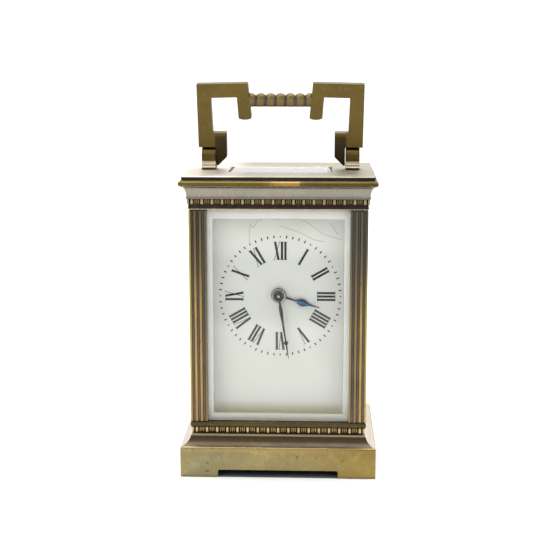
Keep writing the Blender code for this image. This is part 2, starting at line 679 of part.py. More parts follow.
def make_handle():
    pivot_z = TOP_PLATE_TOP + PIVOT_HEIGHT
    swing = bpy.data.objects.new("handle_pivot", None)
    bpy.context.collection.objects.link(swing)
    swing.location = (0.0, 0.0, pivot_z)
    half = HANDLE_THICKNESS / 2
    socket_z = TOP_PLATE_TOP + (GRIP_BOTTOM + GRIP_TOP) / 2
    for name, side in (("left", 1), ("right", -1)):
        outline = [(side * u, TOP_PLATE_TOP + v) for u, v in arm_outline()]
        arm = piece("handle_arm_" + name, stack("Y", [(-half, half, [outline])]), AGED_BRASS,
                    (0.0, 0.0, pivot_z), smooth=False)
        hole_start = -side * (28.8 + 1.0) * MM
        drill(arm, "X", (0.0, 0.0), 1.3 * MM, hole_start, -side * 26.0 * MM)
        socket = -side * (GRIP_HALF + 2.2 * MM)
        drill(arm, "X", (0.0, socket_z - pivot_z), 1.25 * MM, socket, -side * 10 * MM, 12)
        arm.parent = swing
        arm.location = (0.0, 0.0, 0.0)
    grip = piece("handle_grip", grip_body(socket_z), AGED_BRASS, (0.0, 0.0, pivot_z), smooth=False)
    grip.parent = swing
    grip.location = (0.0, 0.0, 0.0)
    swing.rotation_euler = (HANDLE_LEAN, 0.0, 0.0)


def grip_section(height, half_depth):
    """Flat-bottomed section of the grip, rounded over the top."""
    low = TOP_PLATE_TOP + GRIP_BOTTOM
    points = [(-half_depth * 0.8, low), (half_depth * 0.8, low), (half_depth, low + 0.8 * MM)]
    shoulder = low + height - half_depth * 0.8
    for step in range(5):
        turn = step / 4 * pi
        points.append((half_depth * cos(turn), shoulder + half_depth * 0.8 * sin(turn)))
    points.append((-half_depth, low + 0.8 * MM))
    return points


def grip_body(socket_z):
    """Ribbed bar with a tenon at each end."""
    tall, half_depth = GRIP_TOP - GRIP_BOTTOM, HANDLE_THICKNESS / 2
    stations = [(-GRIP_HALF, 0.4)]
    for index in range(2 * GRIP_CRESTS - 1):
        along = (index - GRIP_CRESTS + 1) * GRIP_PITCH / 2
        stations.append((along, 1.0 if index % 2 else 0.0))
    stations.append((GRIP_HALF, 0.4))
    sections = []
    for along, groove in stations:
        if abs(along) > GRIP_HALF:
            continue
        sections.append((along, grip_section(tall - groove * GRIP_GROOVE, half_depth - groove * 0.6 * MM)))
    body = piece("grip_body", loft("X", sections), None, smooth=False)
    reach = GRIP_HALF + 1.8 * MM
    combine(body, turned("X", (0.0, socket_z), ((1.2 * MM, -reach), (1.2 * MM, reach)), 12), "UNION")
    bm = bmesh.new()
    bm.from_mesh(body.data)
    bpy.data.objects.remove(body)
    return bm


# --- movement frame and dial ----------------------------------------------------------------------

INTERMEDIATE = meeting_point(BARREL, BARREL_PITCH + INTERMEDIATE_PINION,
                             CENTRE, INTERMEDIATE_PITCH + CENTRE_PINION, 1)
THIRD = meeting_point(CENTRE, CENTRE_PITCH + THIRD_PINION,
                      CONTRATE, THIRD_PITCH + CONTRATE_PINION, 1)
MOTION = (CENTRE[0] + (CANNON_PITCH + MINUTE_PITCH) * cos(MOTION_ANGLE),
          CENTRE[1] + (CANNON_PITCH + MINUTE_PITCH) * sin(MOTION_ANGLE))
CLICK = (BARREL[0] + 8.0 * MM, BARREL[1] + 3.5 * MM)
SPRING_FOOT = (BARREL[0] + 12.5 * MM, BARREL[1] + 13.0 * MM)
DIAL_FEET = ((-17.0 * MM, 92.0 * MM), (17.0 * MM, 92.0 * MM), (0.0, 31.5 * MM))

PIVOT = 0.45 * MM
ARBOR = 0.7 * MM
PIPE = 1.2 * MM
BARREL_PIVOT = 1.6 * MM
FRONT_PIVOT_END = FRONT_PLATE + GAP
FRONT_SHOULDER = FRONT_PLATE + PLATE_THICKNESS + GAP
BACK_SHOULDER = BACK_PLATE - GAP
BACK_PIVOT_END = BACK_PLATE + PLATE_THICKNESS - GAP


def movement_pillar_spots():
    return {(level_name, side_name): (side * MOVEMENT_PILLAR_X, height)
            for level_name, height in MOVEMENT_PILLARS.items()
            for side_name, side in (("left", -1), ("right", 1))}


def plate_holes():
    """Pivot and pillar holes that both movement plates share."""
    holes = [circle(PIVOT + 0.08 * MM, 8, spot) for spot in (INTERMEDIATE, THIRD, CONTRATE)]
    holes += [circle(PIPE + 0.1 * MM, 12, CENTRE), circle(BARREL_PIVOT + 0.1 * MM, 16, BARREL)]
    holes += [circle(PIPE + FIT, 12, spot) for spot in movement_pillar_spots().values()]
    return holes


def make_movement_frame():
    bottom = BASE_PLATE_TOP + GAP
    outline = rectangle(PLATE_HALF, (PLATE_TOP - bottom) / 2, (0.0, (PLATE_TOP + bottom) / 2))
    front_holes = [circle(0.7 * MM, 8, MOTION)] + [circle(0.9 * MM, 8, spot) for spot in DIAL_FEET]
    back_holes = [circle(0.9 * MM, 8, spot) for spot in (CLICK, SPRING_FOOT)]
    for name, face, holes in (("movement_front_plate", FRONT_PLATE, front_holes),
                              ("movement_back_plate", BACK_PLATE, back_holes)):
        slab = stack("Y", [(face, face + PLATE_THICKNESS, [outline] + plate_holes() + holes)])
        piece(name, slab, GILT_BRASS, smooth=False)
    for (height, side), spot in movement_pillar_spots().items():
        tenon, body = circle(PIPE, 12, spot), circle(MOVEMENT_PILLAR_RADIUS, 12, spot)
        rod = stack("Y", [(FRONT_PIVOT_END, FRONT_SHOULDER, [tenon]), (FRONT_SHOULDER, BACK_SHOULDER, [body]),
                          (BACK_SHOULDER, BACK_PIVOT_END, [tenon])])
        pillar = piece(f"movement_pillar_{height}_{side}", rod, GILT_BRASS)
        if height == "lower":
            drill(pillar, "Z", (spot[0], SEAT_Y), 1.3 * MM, 27 * MM, 30 * MM, 12)
            make_seat_screw(side, spot[0])


def make_seat_screw(side, x):
    """Screw up through the base plate into a lower movement pillar."""
    under = BASE_PLATE_BOTTOM - GAP
    spot = (x, SEAT_Y)
    body = stack("Z", [(under - 1.3 * MM, under, [circle(2.3 * MM, 12, spot)]),
                       (under, 29.7 * MM, [circle(1.2 * MM, 12, spot)])])
    screw = piece("seat_screw_" + side, body, STEEL, (x, SEAT_Y, under))
    cutter = stack("Z", [(-3 * MM, -0.8 * MM, [rectangle(3 * MM, 0.25 * MM)])])
    combine(screw, cutter, "DIFFERENCE")


def make_dial():
    low, high = BASE_PLATE_TOP + GAP, ARCHITRAVE_BOTTOM - GAP
    outline = rectangle(DIAL_HALF, (high - low) / 2, (0.0, (high + low) / 2))
    back = DIAL_FRONT + DIAL_THICKNESS
    feet = [circle(0.8 * MM, 8, spot) for spot in DIAL_FEET]
    body = stack("Y", [(DIAL_FRONT, back, [outline, circle(2.2 * MM, 16, CENTRE)]),
                       (back, FRONT_PLATE + PLATE_THICKNESS - GAP, feet)])
    piece("dial", body, ENAMEL, smooth=False)


# --- going train ----------------------------------------------------------------------------------

def on_axis(spot, y=0.0):
    """Origin on an arbor's axis."""
    return spot[0], y, spot[1]


def mesh_angles(wheel_spot, pinion_spot, leaves):
    """Angles of a wheel tooth and a pinion leaf that mesh on the line between two arbors."""
    towards = heading(wheel_spot, pinion_spot)
    return towards, towards + pi + pi / leaves


def make_barrel():
    tooth, _ = mesh_angles(BARREL, INTERMEDIATE, INTERMEDIATE_LEAVES)
    bore = circle(2.6 * MM, 16, BARREL)
    wheel = toothed_wheel(BARREL_TEETH, BARREL_PITCH, tooth, BARREL)
    drum, cavity = circle(14.9 * MM, 32, BARREL), circle(14.1 * MM, 32, BARREL)
    floor = -11.4 * MM
    body = stack("Y", [(-12.7 * MM, floor, [wheel, bore]), (floor, 6.0 * MM, [drum, cavity])])
    piece("mainspring_barrel", body, GILT_BRASS, on_axis(BARREL))
    cap = stack("Y", [(4.6 * MM, 5.7 * MM, [circle(13.9 * MM, 32, BARREL), circle(2.6 * MM, 16, BARREL)])])
    piece("barrel_cap", cap, GILT_BRASS, on_axis(BARREL))
    coil = strip("Y", spiral(3.6 * MM, 12.8 * MM, 5, 12, BARREL), 0.5 * MM, floor + GAP, 4.3 * MM)
    piece("mainspring", coil, STEEL, on_axis(BARREL))


def make_winding():
    pivot, core = circle(BARREL_PIVOT, 16, BARREL), circle(2.4 * MM, 16, BARREL)
    square = rectangle(1.1 * MM, 1.1 * MM, BARREL)
    levels = [(FRONT_PIVOT_END, FRONT_SHOULDER, [pivot]), (FRONT_SHOULDER, BACK_SHOULDER, [core]),
              (BACK_SHOULDER, BACK_PIVOT_END + 0.5 * MM, [pivot]),
              (BACK_PIVOT_END + 0.5 * MM, 20.0 * MM, [square])]
    piece("barrel_arbor", stack("Y", levels), STEEL, on_axis(BARREL))
    teeth = 20
    saw = []
    for index in range(teeth):
        for radius, share in ((5.0 * MM, 0.0), (4.2 * MM, 0.08)):
            turn = 2 * pi * (index + share) / teeth
            saw.append((BARREL[0] + radius * cos(turn), BARREL[1] + radius * sin(turn)))
    hole = rectangle(1.1 * MM + FIT, 1.1 * MM + FIT, BARREL)
    piece("ratchet_wheel", stack("Y", [(11.0 * MM, 12.4 * MM, [saw, hole])]), STEEL, on_axis(BARREL))


def blade(base, boss_radius, angle, widths, count=10):
    """Outline of a round boss with a tapering blade, widths as (distance, half width)."""
    first = widths[0][1]
    start = asin(first / boss_radius)
    points = []
    for step in range(count + 1):
        turn = start + step / count * (2 * pi - 2 * start)
        points.append((boss_radius * cos(turn), boss_radius * sin(turn)))
    points += [(distance, -half) for distance, half in widths]
    points += [(distance, half) for distance, half in reversed(widths)]
    turned_points = []
    for u, v in points:
        turned_points.append((base[0] + u * cos(angle) - v * sin(angle),
                              base[1] + u * sin(angle) + v * cos(angle)))
    return turned_points


def make_click():
    near, far = 11.0 * MM, 12.2 * MM
    reach = ((4.0 * MM, 0.6 * MM), (6.3 * MM, 0.2 * MM))
    outline = blade(CLICK, 1.5 * MM, radians(166.0), ((1.6 * MM, 0.9 * MM),) + reach, 8)
    stud = circle(0.8 * MM, 8, CLICK)
    body = stack("Y", [(BACK_PLATE + GAP, near, [stud]), (near, far, [outline])])
    piece("ratchet_click", body, STEEL, on_axis(CLICK))
    foot = blade(SPRING_FOOT, 1.6 * MM, radians(205.0), ((1.8 * MM, 0.5 * MM), (8.0 * MM, 0.25 * MM),
                                                         (11.0 * MM, 0.15 * MM)), 8)
    body = stack("Y", [(BACK_PLATE + GAP, near, [circle(0.8 * MM, 8, SPRING_FOOT)]), (near, far, [foot])])
    piece("click_spring", body, STEEL, on_axis(SPRING_FOOT))


def arbor_levels(spot, parts, shaft=None):
    """Slabs of a solid arbor from pivot to pivot, carrying (start, end, outlines) on the way."""
    pivot, shaft = circle(PIVOT, 8, spot), shaft or circle(ARBOR, 8, spot)
    levels = [(FRONT_PIVOT_END, FRONT_SHOULDER, [pivot])]
    reached = FRONT_SHOULDER
    for start, end, loops in parts:
        if start > reached:
            levels.append((reached, start, [shaft]))
        levels.append((start, end, loops))
        reached = end
    levels.append((reached, BACK_SHOULDER, [shaft]))
    levels.append((BACK_SHOULDER, BACK_PIVOT_END, [pivot]))
    return levels


def make_intermediate():
    tooth, _ = mesh_angles(INTERMEDIATE, CENTRE, CENTRE_LEAVES)
    _, leaf = mesh_angles(BARREL, INTERMEDIATE, INTERMEDIATE_LEAVES)
    wheel = toothed_wheel(INTERMEDIATE_TEETH, INTERMEDIATE_PITCH, tooth, INTERMEDIATE)
    pinion = leaf_pinion(INTERMEDIATE_LEAVES, INTERMEDIATE_PINION, leaf, INTERMEDIATE)
    openings = crossings(2.4 * MM, 7.0 * MM, INTERMEDIATE)
    levels = arbor_levels(INTERMEDIATE, [(-13.2 * MM, -10.9 * MM, [pinion]),
                                         (7.0 * MM, 7.9 * MM, [wheel] + openings)])
    piece("intermediate_wheel", stack("Y", levels), GILT_BRASS, on_axis(INTERMEDIATE))


def make_centre():
    """Centre wheel and pinion on a pipe, through which the hand arbor passes."""
    tooth, _ = mesh_angles(CENTRE, THIRD, THIRD_LEAVES)
    _, leaf = mesh_angles(INTERMEDIATE, CENTRE, CENTRE_LEAVES)
    bore = circle(0.82 * MM, 12, CENTRE)
    pipe = circle(PIPE, 12, CENTRE)
    wheel = toothed_wheel(CENTRE_TEETH, CENTRE_PITCH, tooth, CENTRE)
    pinion = leaf_pinion(CENTRE_LEAVES, CENTRE_PINION, leaf, CENTRE)
    openings = crossings(2.4 * MM, 7.4 * MM, CENTRE)
    levels = [(FRONT_PIVOT_END, 3.5 * MM, [pipe, bore]), (3.5 * MM, 4.3 * MM, [wheel, bore] + openings),
              (4.3 * MM, 6.6 * MM, [pipe, bore]), (6.6 * MM, 8.3 * MM, [pinion, bore]),
              (8.3 * MM, BACK_PIVOT_END, [pipe, bore])]
    piece("centre_wheel", stack("Y", levels), GILT_BRASS, on_axis(CENTRE))


def make_third():
    tooth, _ = mesh_angles(THIRD, CONTRATE, CONTRATE_LEAVES)
    _, leaf = mesh_angles(CENTRE, THIRD, THIRD_LEAVES)
    wheel = toothed_wheel(THIRD_TEETH, THIRD_PITCH, tooth, THIRD)
    pinion = leaf_pinion(THIRD_LEAVES, THIRD_PINION, leaf, THIRD)
    openings = crossings(2.0 * MM, 6.4 * MM, THIRD)
    levels = arbor_levels(THIRD, [(0.0, 0.8 * MM, [wheel] + openings), (3.0 * MM, 4.8 * MM, [pinion])])
    piece("third_wheel", stack("Y", levels), GILT_BRASS, on_axis(THIRD))


def make_contrate():
    """Wheel whose teeth point backwards, under the escape pinion."""
    _, leaf = mesh_angles(THIRD, CONTRATE, CONTRATE_LEAVES)
    pinion = leaf_pinion(CONTRATE_LEAVES, CONTRATE_PINION, leaf, CONTRATE)
    tip = PLATFORM_Y - ESCAPE_PINION + 0.12 * MM
    root, back = tip - 0.55 * MM, tip - 1.2 * MM
    rim = circle(CONTRATE_PITCH + 0.7 * MM, 40, CONTRATE)
    openings = crossings(1.8 * MM, 6.3 * MM, CONTRATE)
    teeth = [crown_tooth(pi / 2 + index * 2 * pi / CONTRATE_TEETH) for index in range(CONTRATE_TEETH)]
    shaft = circle(ARBOR, 8, CONTRATE)
    levels = arbor_levels(CONTRATE, [(back, root, [rim] + openings), (root, tip, teeth + [shaft]),
                                     (-0.5 * MM, 1.3 * MM, [pinion])], shaft)
    piece("contrate_wheel", stack("Y", levels), GILT_BRASS, on_axis(CONTRATE))


def crown_tooth(angle):
    """Small block standing on the rim of the contrate wheel."""
    points = []
    for radial, aside in ((-0.45, -0.14), (0.45, -0.14), (0.45, 0.14), (-0.45, 0.14)):
        radius = CONTRATE_PITCH + radial * MM
        points.append((CONTRATE[0] + radius * cos(angle) - aside * MM * sin(angle),
                       CONTRATE[1] + radius * sin(angle) + aside * MM * cos(angle)))
    return points


# --- motion work and hands ------------------------------------------------------------------------

def make_motion_work():
    arbor, tip = circle(ARBOR, 12, CENTRE), circle(0.55 * MM, 12, CENTRE)
    cannon = toothed_wheel(CANNON_TEETH, CANNON_PITCH, MOTION_ANGLE + pi / CANNON_TEETH, CENTRE)
    square = rectangle(0.45 * MM, 0.45 * MM, CENTRE)
    levels = [(-27.5 * MM, -27.3 * MM, [tip]), (-27.3 * MM, -17.6 * MM, [arbor]),
              (-17.6 * MM, -16.3 * MM, [cannon]), (-16.3 * MM, 12.0 * MM, [arbor]),
              (12.0 * MM, 17.0 * MM, [square])]
    piece("hand_arbor", stack("Y", levels), STEEL, on_axis(CENTRE))

    wheel = toothed_wheel(MINUTE_TEETH, MINUTE_PITCH, MOTION_ANGLE + pi, MOTION)
    pinion = toothed_wheel(MINUTE_LEAVES, MINUTE_PINION, MOTION_ANGLE + pi, MOTION)
    end, stud = circle(0.6 * MM, 8, MOTION), circle(0.8 * MM, 8, MOTION)
    levels = [(-20.4 * MM, -19.8 * MM, [end]), (-19.8 * MM, -17.4 * MM, [pinion]),
              (-17.4 * MM, -16.5 * MM, [wheel]), (-16.5 * MM, FRONT_PLATE - GAP, [stud]),
              (FRONT_PLATE - GAP, FRONT_PLATE + PLATE_THICKNESS - GAP, [end])]
    piece("minute_wheel", stack("Y", levels), GILT_BRASS, on_axis(MOTION))

    bore = circle(0.9 * MM, 12, CENTRE)
    pipe = circle(1.5 * MM, 12, CENTRE)
    hour = toothed_wheel(HOUR_TEETH, HOUR_PITCH, MOTION_ANGLE + pi / HOUR_TEETH, CENTRE)
    levels = [(-25.9 * MM, -19.4 * MM, [pipe, bore]),
              (-19.4 * MM, -18.5 * MM, [hour, bore] + crossings(2.4 * MM, 4.6 * MM, CENTRE))]
    piece("hour_wheel", stack("Y", levels), GILT_BRASS, on_axis(CENTRE))


def make_hands():
    hour = blade(CENTRE, HOUR_BOSS, pi / 2 - HOUR_ANGLE,
                 ((3.3 * MM, 0.55 * MM), (7.4 * MM, 0.6 * MM), (9.0 * MM, 1.4 * MM), (10.6 * MM, 1.7 * MM),
                  (12.6 * MM, 1.1 * MM), (14.6 * MM, 0.5 * MM), (18.8 * MM, 0.12 * MM)), 14)
    bore = circle(1.5 * MM + FIT, 12, CENTRE)
    boss = circle(2.8 * MM, 16, CENTRE)
    levels = [(-25.8 * MM, -25.4 * MM, [boss, bore]), (-25.4 * MM, -24.9 * MM, [hour, bore])]
    piece("hour_hand", stack("Y", levels), BLUED_STEEL, on_axis(CENTRE))

    minute = blade(CENTRE, MINUTE_BOSS, pi / 2 - MINUTE_ANGLE,
                   ((2.5 * MM, 0.6 * MM), (16.0 * MM, 0.5 * MM), (19.0 * MM, 0.6 * MM), (21.2 * MM, 1.1 * MM),
                    (23.0 * MM, 0.5 * MM), (28.3 * MM, 0.12 * MM)), 14)
    bore = circle(ARBOR + FIT, 12, CENTRE)
    boss = circle(2.0 * MM, 16, CENTRE)
    levels = [(-27.2 * MM, -26.7 * MM, [boss, bore]), (-26.7 * MM, -26.2 * MM, [minute, bore])]
    piece("minute_hand", stack("Y", levels), BLUED_STEEL, on_axis(CENTRE))


# --- platform escapement --------------------------------------------------------------------------

def make_platform():
    escape = (CONTRATE[0], PLATFORM_Y)
    outline = rectangle(18.0 * MM, 12.0 * MM, (0.0, PLATFORM_Y))
    holes = [circle(0.65 * MM, 8, escape), circle(0.4 * MM, 8, (LEVER_X, PLATFORM_Y)),
             circle(0.4 * MM, 8, (BALANCE_X, PLATFORM_Y))]
    piece("platform_plate", stack("Z", [(PLATFORM_BOTTOM, PLATFORM_TOP, [outline] + holes)]),
          GILT_BRASS, smooth=False)
    foot, roof = PLATFORM_TOP + GAP, 110.6 * MM
    bridge = [(-9.2, foot), (-9.2, roof), (4.2, roof), (4.2, foot), (2.4, foot), (2.4, 109.4 * MM),
              (-7.4, 109.4 * MM), (-7.4, foot)]
    arch = stack("X", [(-8.2 * MM, 0.8 * MM, [[(y * MM, z) for y, z in bridge]])])
    cover = piece("escapement_bridge", arch, GILT_BRASS, smooth=False)
    for x in (escape[0], LEVER_X):
        drill(cover, "Z", (x, PLATFORM_Y), 0.42 * MM, 109 * MM, 111 * MM, 8)


def make_escape_wheel():
    spot = (CONTRATE[0], PLATFORM_Y)
    pinion = leaf_pinion(ESCAPE_LEAVES, ESCAPE_PINION, -pi / 2 + pi / ESCAPE_LEAVES, spot)
    teeth = []
    for index in range(ESCAPE_TEETH):
        for radius, share in ((3.0 * MM, 0.0), (ESCAPE_RADIUS, 0.42), (ESCAPE_RADIUS - 0.15 * MM, 0.58),
                              (3.0 * MM, 0.4)):
            turn = 2 * pi * (index + share) / ESCAPE_TEETH
            teeth.append((spot[0] + radius * cos(turn), spot[1] + radius * sin(turn)))
    shaft, pivot = circle(0.42 * MM, 8, spot), circle(0.34 * MM, 8, spot)
    levels = [(103.1 * MM, 105.1 * MM, [pinion]), (105.1 * MM, 107.7 * MM, [shaft]),
              (107.7 * MM, 108.2 * MM, [teeth] + crossings(1.0 * MM, 2.4 * MM, spot, 4, 0.3 * MM)),
              (108.2 * MM, 109.1 * MM, [shaft]), (109.1 * MM, 110.4 * MM, [pivot])]
    piece("escape_wheel", stack("Z", levels), STEEL, (*spot, PLATFORM_TOP))


def make_lever():
    spot = (LEVER_X, PLATFORM_Y)
    anchor = [(-1.0, 0.5), (-2.6, 2.4), (-3.4, 3.9), (-2.6, 4.1), (-1.6, 2.6), (0.2, 1.0), (1.2, 0.35),
              (5.4, 0.3), (5.9, 0.9), (6.5, 0.9), (6.2, 0.3)]
    outline = [(u, v) for u, v in anchor] + [(u, -v) for u, v in reversed(anchor)]
    shape = [(spot[0] + u * MM, spot[1] + v * MM) for u, v in outline]
    pivot, shaft = circle(0.3 * MM, 8, spot), circle(0.5 * MM, 8, spot)
    levels = [(106.2 * MM, PLATFORM_TOP + GAP, [pivot]), (PLATFORM_TOP + GAP, 107.6 * MM, [shaft]),
              (107.6 * MM, 108.1 * MM, [shape]), (108.1 * MM, 109.1 * MM, [shaft]),
              (109.1 * MM, 110.3 * MM, [pivot])]
    piece("pallet_lever", stack("Z", levels), STEEL, (*spot, PLATFORM_TOP))


def make_balance():
    spot = (BALANCE_X, PLATFORM_Y)
    pivot, staff = circle(0.3 * MM, 8, spot), circle(0.5 * MM, 8, spot)
    rim = circle(BALANCE_RADIUS, 32, spot)
    openings = crossings(1.3 * MM, 6.3 * MM, spot, 2, 0.7 * MM, 8)
    levels = [(106.2 * MM, PLATFORM_TOP + GAP, [pivot]), (PLATFORM_TOP + GAP, 107.6 * MM, [staff]),
              (107.6 * MM, 108.0 * MM, [circle(1.6 * MM, 12, spot)]), (108.0 * MM, 109.3 * MM, [staff]),
              (109.3 * MM, 110.1 * MM, [rim] + openings), (110.1 * MM, 111.7 * MM, [staff]),
              (111.7 * MM, 112.8 * MM, [pivot])]
    piece("balance_wheel", stack("Z", levels), GILT_BRASS, (*spot, PLATFORM_TOP))
    coil = strip("Z", spiral(1.0 * MM, 4.4 * MM, 4, 12, spot), 0.15 * MM, 110.8 * MM, 111.3 * MM)
    piece("hairspring", coil, BLUED_STEEL, (*spot, PLATFORM_TOP))
    arm = blade(spot, 2.6 * MM, pi / 2, ((3.0 * MM, 1.6 * MM), (8.0 * MM, 3.0 * MM), (11.4 * MM, 3.0 * MM)))
    foot = rectangle(2.6 * MM, 1.4 * MM, (spot[0], spot[1] + 9.7 * MM))
    socket = circle(0.4 * MM, 8, spot)
    collar = circle(1.2 * MM, 16, spot)
    cock = stack("Z", [(PLATFORM_TOP + GAP, 112.0 * MM, [foot]), (112.0 * MM, 113.2 * MM, [arm, socket]),
                       (113.2 * MM, 114.3 * MM, [collar, socket])])
    piece("balance_cock", cock, GILT_BRASS, smooth=False)
    pointer = blade(spot, 2.2 * MM, pi, ((2.4 * MM, 0.4 * MM), (6.0 * MM, 0.2 * MM)), 12)
    ring_hole = circle(1.35 * MM, 16, spot)
    piece("regulator_index", stack("Z", [(113.5 * MM, 113.9 * MM, [pointer, ring_hole])]), STEEL,
          (*spot, PLATFORM_TOP))


# --- build ----------------------------------------------------------------------------------------

def clear_scene():
    for thing in list(bpy.data.objects):
        bpy.data.objects.remove(thing)


def main():
    clear_scene()
    make_plinth()
    make_base()
    make_pillars()
    make_architrave()
    make_cornice()
    make_top()
    make_glasses()
    make_door()
    make_posts()
    make_handle()
    make_movement_frame()
    make_dial()
    make_barrel()
    make_winding()
    make_click()
    make_intermediate()
    make_centre()
    make_third()
    make_contrate()
    make_motion_work()
    make_hands()
    make_platform()
    make_escape_wheel()
    make_lever()
    make_balance()


main()
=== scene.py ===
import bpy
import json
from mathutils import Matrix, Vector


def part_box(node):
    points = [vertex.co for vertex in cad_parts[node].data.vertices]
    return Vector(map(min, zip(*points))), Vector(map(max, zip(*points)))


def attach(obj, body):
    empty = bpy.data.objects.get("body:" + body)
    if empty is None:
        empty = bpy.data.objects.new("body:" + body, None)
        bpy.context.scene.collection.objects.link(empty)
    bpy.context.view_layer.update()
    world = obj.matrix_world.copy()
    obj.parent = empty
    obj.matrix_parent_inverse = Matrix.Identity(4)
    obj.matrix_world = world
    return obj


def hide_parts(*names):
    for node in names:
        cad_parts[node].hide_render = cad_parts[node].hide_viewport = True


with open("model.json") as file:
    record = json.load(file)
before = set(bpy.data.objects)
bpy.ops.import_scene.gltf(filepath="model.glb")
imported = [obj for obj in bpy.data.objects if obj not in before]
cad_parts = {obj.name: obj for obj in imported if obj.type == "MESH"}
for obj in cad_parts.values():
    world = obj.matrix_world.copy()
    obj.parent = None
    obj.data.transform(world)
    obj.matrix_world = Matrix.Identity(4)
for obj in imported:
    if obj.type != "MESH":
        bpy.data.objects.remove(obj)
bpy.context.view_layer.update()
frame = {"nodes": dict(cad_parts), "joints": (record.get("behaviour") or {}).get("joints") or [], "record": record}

import json
from math import cos, hypot, pi, radians, sin

import bmesh
import bpy
from mathutils import Matrix, Vector

mm = 0.001
BOX = {name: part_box(name) for name in frame["nodes"]}
PLINTH, BAND, SLAB = BOX["base_plinth"], BOX["base_reeded_band"], BOX["base_plate"]
ARCHITRAVE, CORNICE, TOP = BOX["architrave_reeded_band"], BOX["cornice_frame"], BOX["top_plate"]
LOSS = PLINTH[1].x - PLINTH[1].y      # every moulding is this much less deep than wide
CASE_OPENING = 30.6 * mm              # half width inside the mouldings on top of the pillars


# --- materials ------------------------------------------------------------------------------------

class Graph:
    """Node tree of a material or a world, with short calls for the nodes used here."""

    def __init__(self, name, store=bpy.data.materials, space="Object", output="ShaderNodeOutputMaterial"):
        self.owner = store.new(name)
        self.owner.use_nodes = True
        self.tree = self.owner.node_tree
        self.tree.nodes.clear()
        self.output = self.tree.nodes.new(output)
        self.place = self.tree.nodes.new("ShaderNodeTexCoord").outputs[space]

    def add(self, kind, **values):
        node = self.tree.nodes.new(kind)
        for key, value in values.items():
            setattr(node, key, value)
        return node

    def link(self, source, target):
        if isinstance(source, bpy.types.NodeSocket):
            self.tree.links.new(source, target)
        else:
            target.default_value = source

    def noise(self, scale, detail=4.0, stretch=(1.0, 1.0, 1.0), distortion=0.0):
        mapping = self.add("ShaderNodeMapping")
        self.link(self.place, mapping.inputs["Vector"])
        mapping.inputs["Scale"].default_value = stretch
        texture = self.add("ShaderNodeTexNoise")
        self.link(mapping.outputs[0], texture.inputs["Vector"])
        texture.inputs["Scale"].default_value = scale
        texture.inputs["Detail"].default_value = detail
        texture.inputs["Distortion"].default_value = distortion
        return texture.outputs["Fac"]

    def ramp(self, value, low, high, start=0.0, end=1.0):
        node = self.add("ShaderNodeMapRange", interpolation_type="SMOOTHSTEP")
        self.link(value, node.inputs["Value"])
        for key, number in (("From Min", low), ("From Max", high), ("To Min", start), ("To Max", end)):
            node.inputs[key].default_value = number
        return node.outputs["Result"]

    def math(self, operation, a, b=0.0):
        node = self.add("ShaderNodeMath", operation=operation)
        self.link(a, node.inputs[0])
        self.link(b, node.inputs[1])
        return node.outputs[0]

    def mix(self, factor, a, b):
        node = self.add("ShaderNodeMix", data_type="RGBA")
        self.link(factor, node.inputs["Factor"])
        for key, colour in (("A", a), ("B", b)):
            socket = [s for s in node.inputs if s.name == key and s.type == "RGBA"][0]
            self.link(colour if isinstance(colour, bpy.types.NodeSocket) else (*colour, 1.0), socket)
        return [s for s in node.outputs if s.type == "RGBA"][0]

    def bump(self, height, strength, distance):
        node = self.add("ShaderNodeBump")
        node.inputs["Strength"].default_value = strength
        node.inputs["Distance"].default_value = distance
        self.link(height, node.inputs["Height"])
        return node.outputs["Normal"]

    def along(self, axis):
        node = self.add("ShaderNodeSeparateXYZ")
        self.link(self.place, node.inputs[0])
        return node.outputs[axis]

    def height(self):
        return self.along("Z")

    def both(self, a, b):
        return self.math("MULTIPLY", a, b)

    def blend(self, value, low, high, share, colour, other):
        """Colour that takes on a share of the other as the value goes from low to high."""
        return self.mix(self.ramp(value, low, high, 0.0, share), colour, other)

    def band(self, value, low, high, soft, share):
        """Mask that is the share between two values and fades out past them."""
        inside = self.both(self.ramp(value, low - soft, low), self.ramp(value, high + soft, high))
        return self.both(inside, share)

    def surface(self, colour, roughness, metallic, normal=None, **extra):
        shader = self.add("ShaderNodeBsdfPrincipled")
        self.link(colour if isinstance(colour, bpy.types.NodeSocket) else (*colour, 1.0),
                  shader.inputs["Base Color"])
        self.link(roughness, shader.inputs["Roughness"])
        self.link(metallic, shader.inputs["Metallic"])
        if normal:
            self.link(normal, shader.inputs["Normal"])
        for key, value in extra.items():
            self.link(value, shader.inputs[key.replace("_", " ")])
        self.link(shader.outputs[0], self.output.inputs["Surface"])
        return self.owner


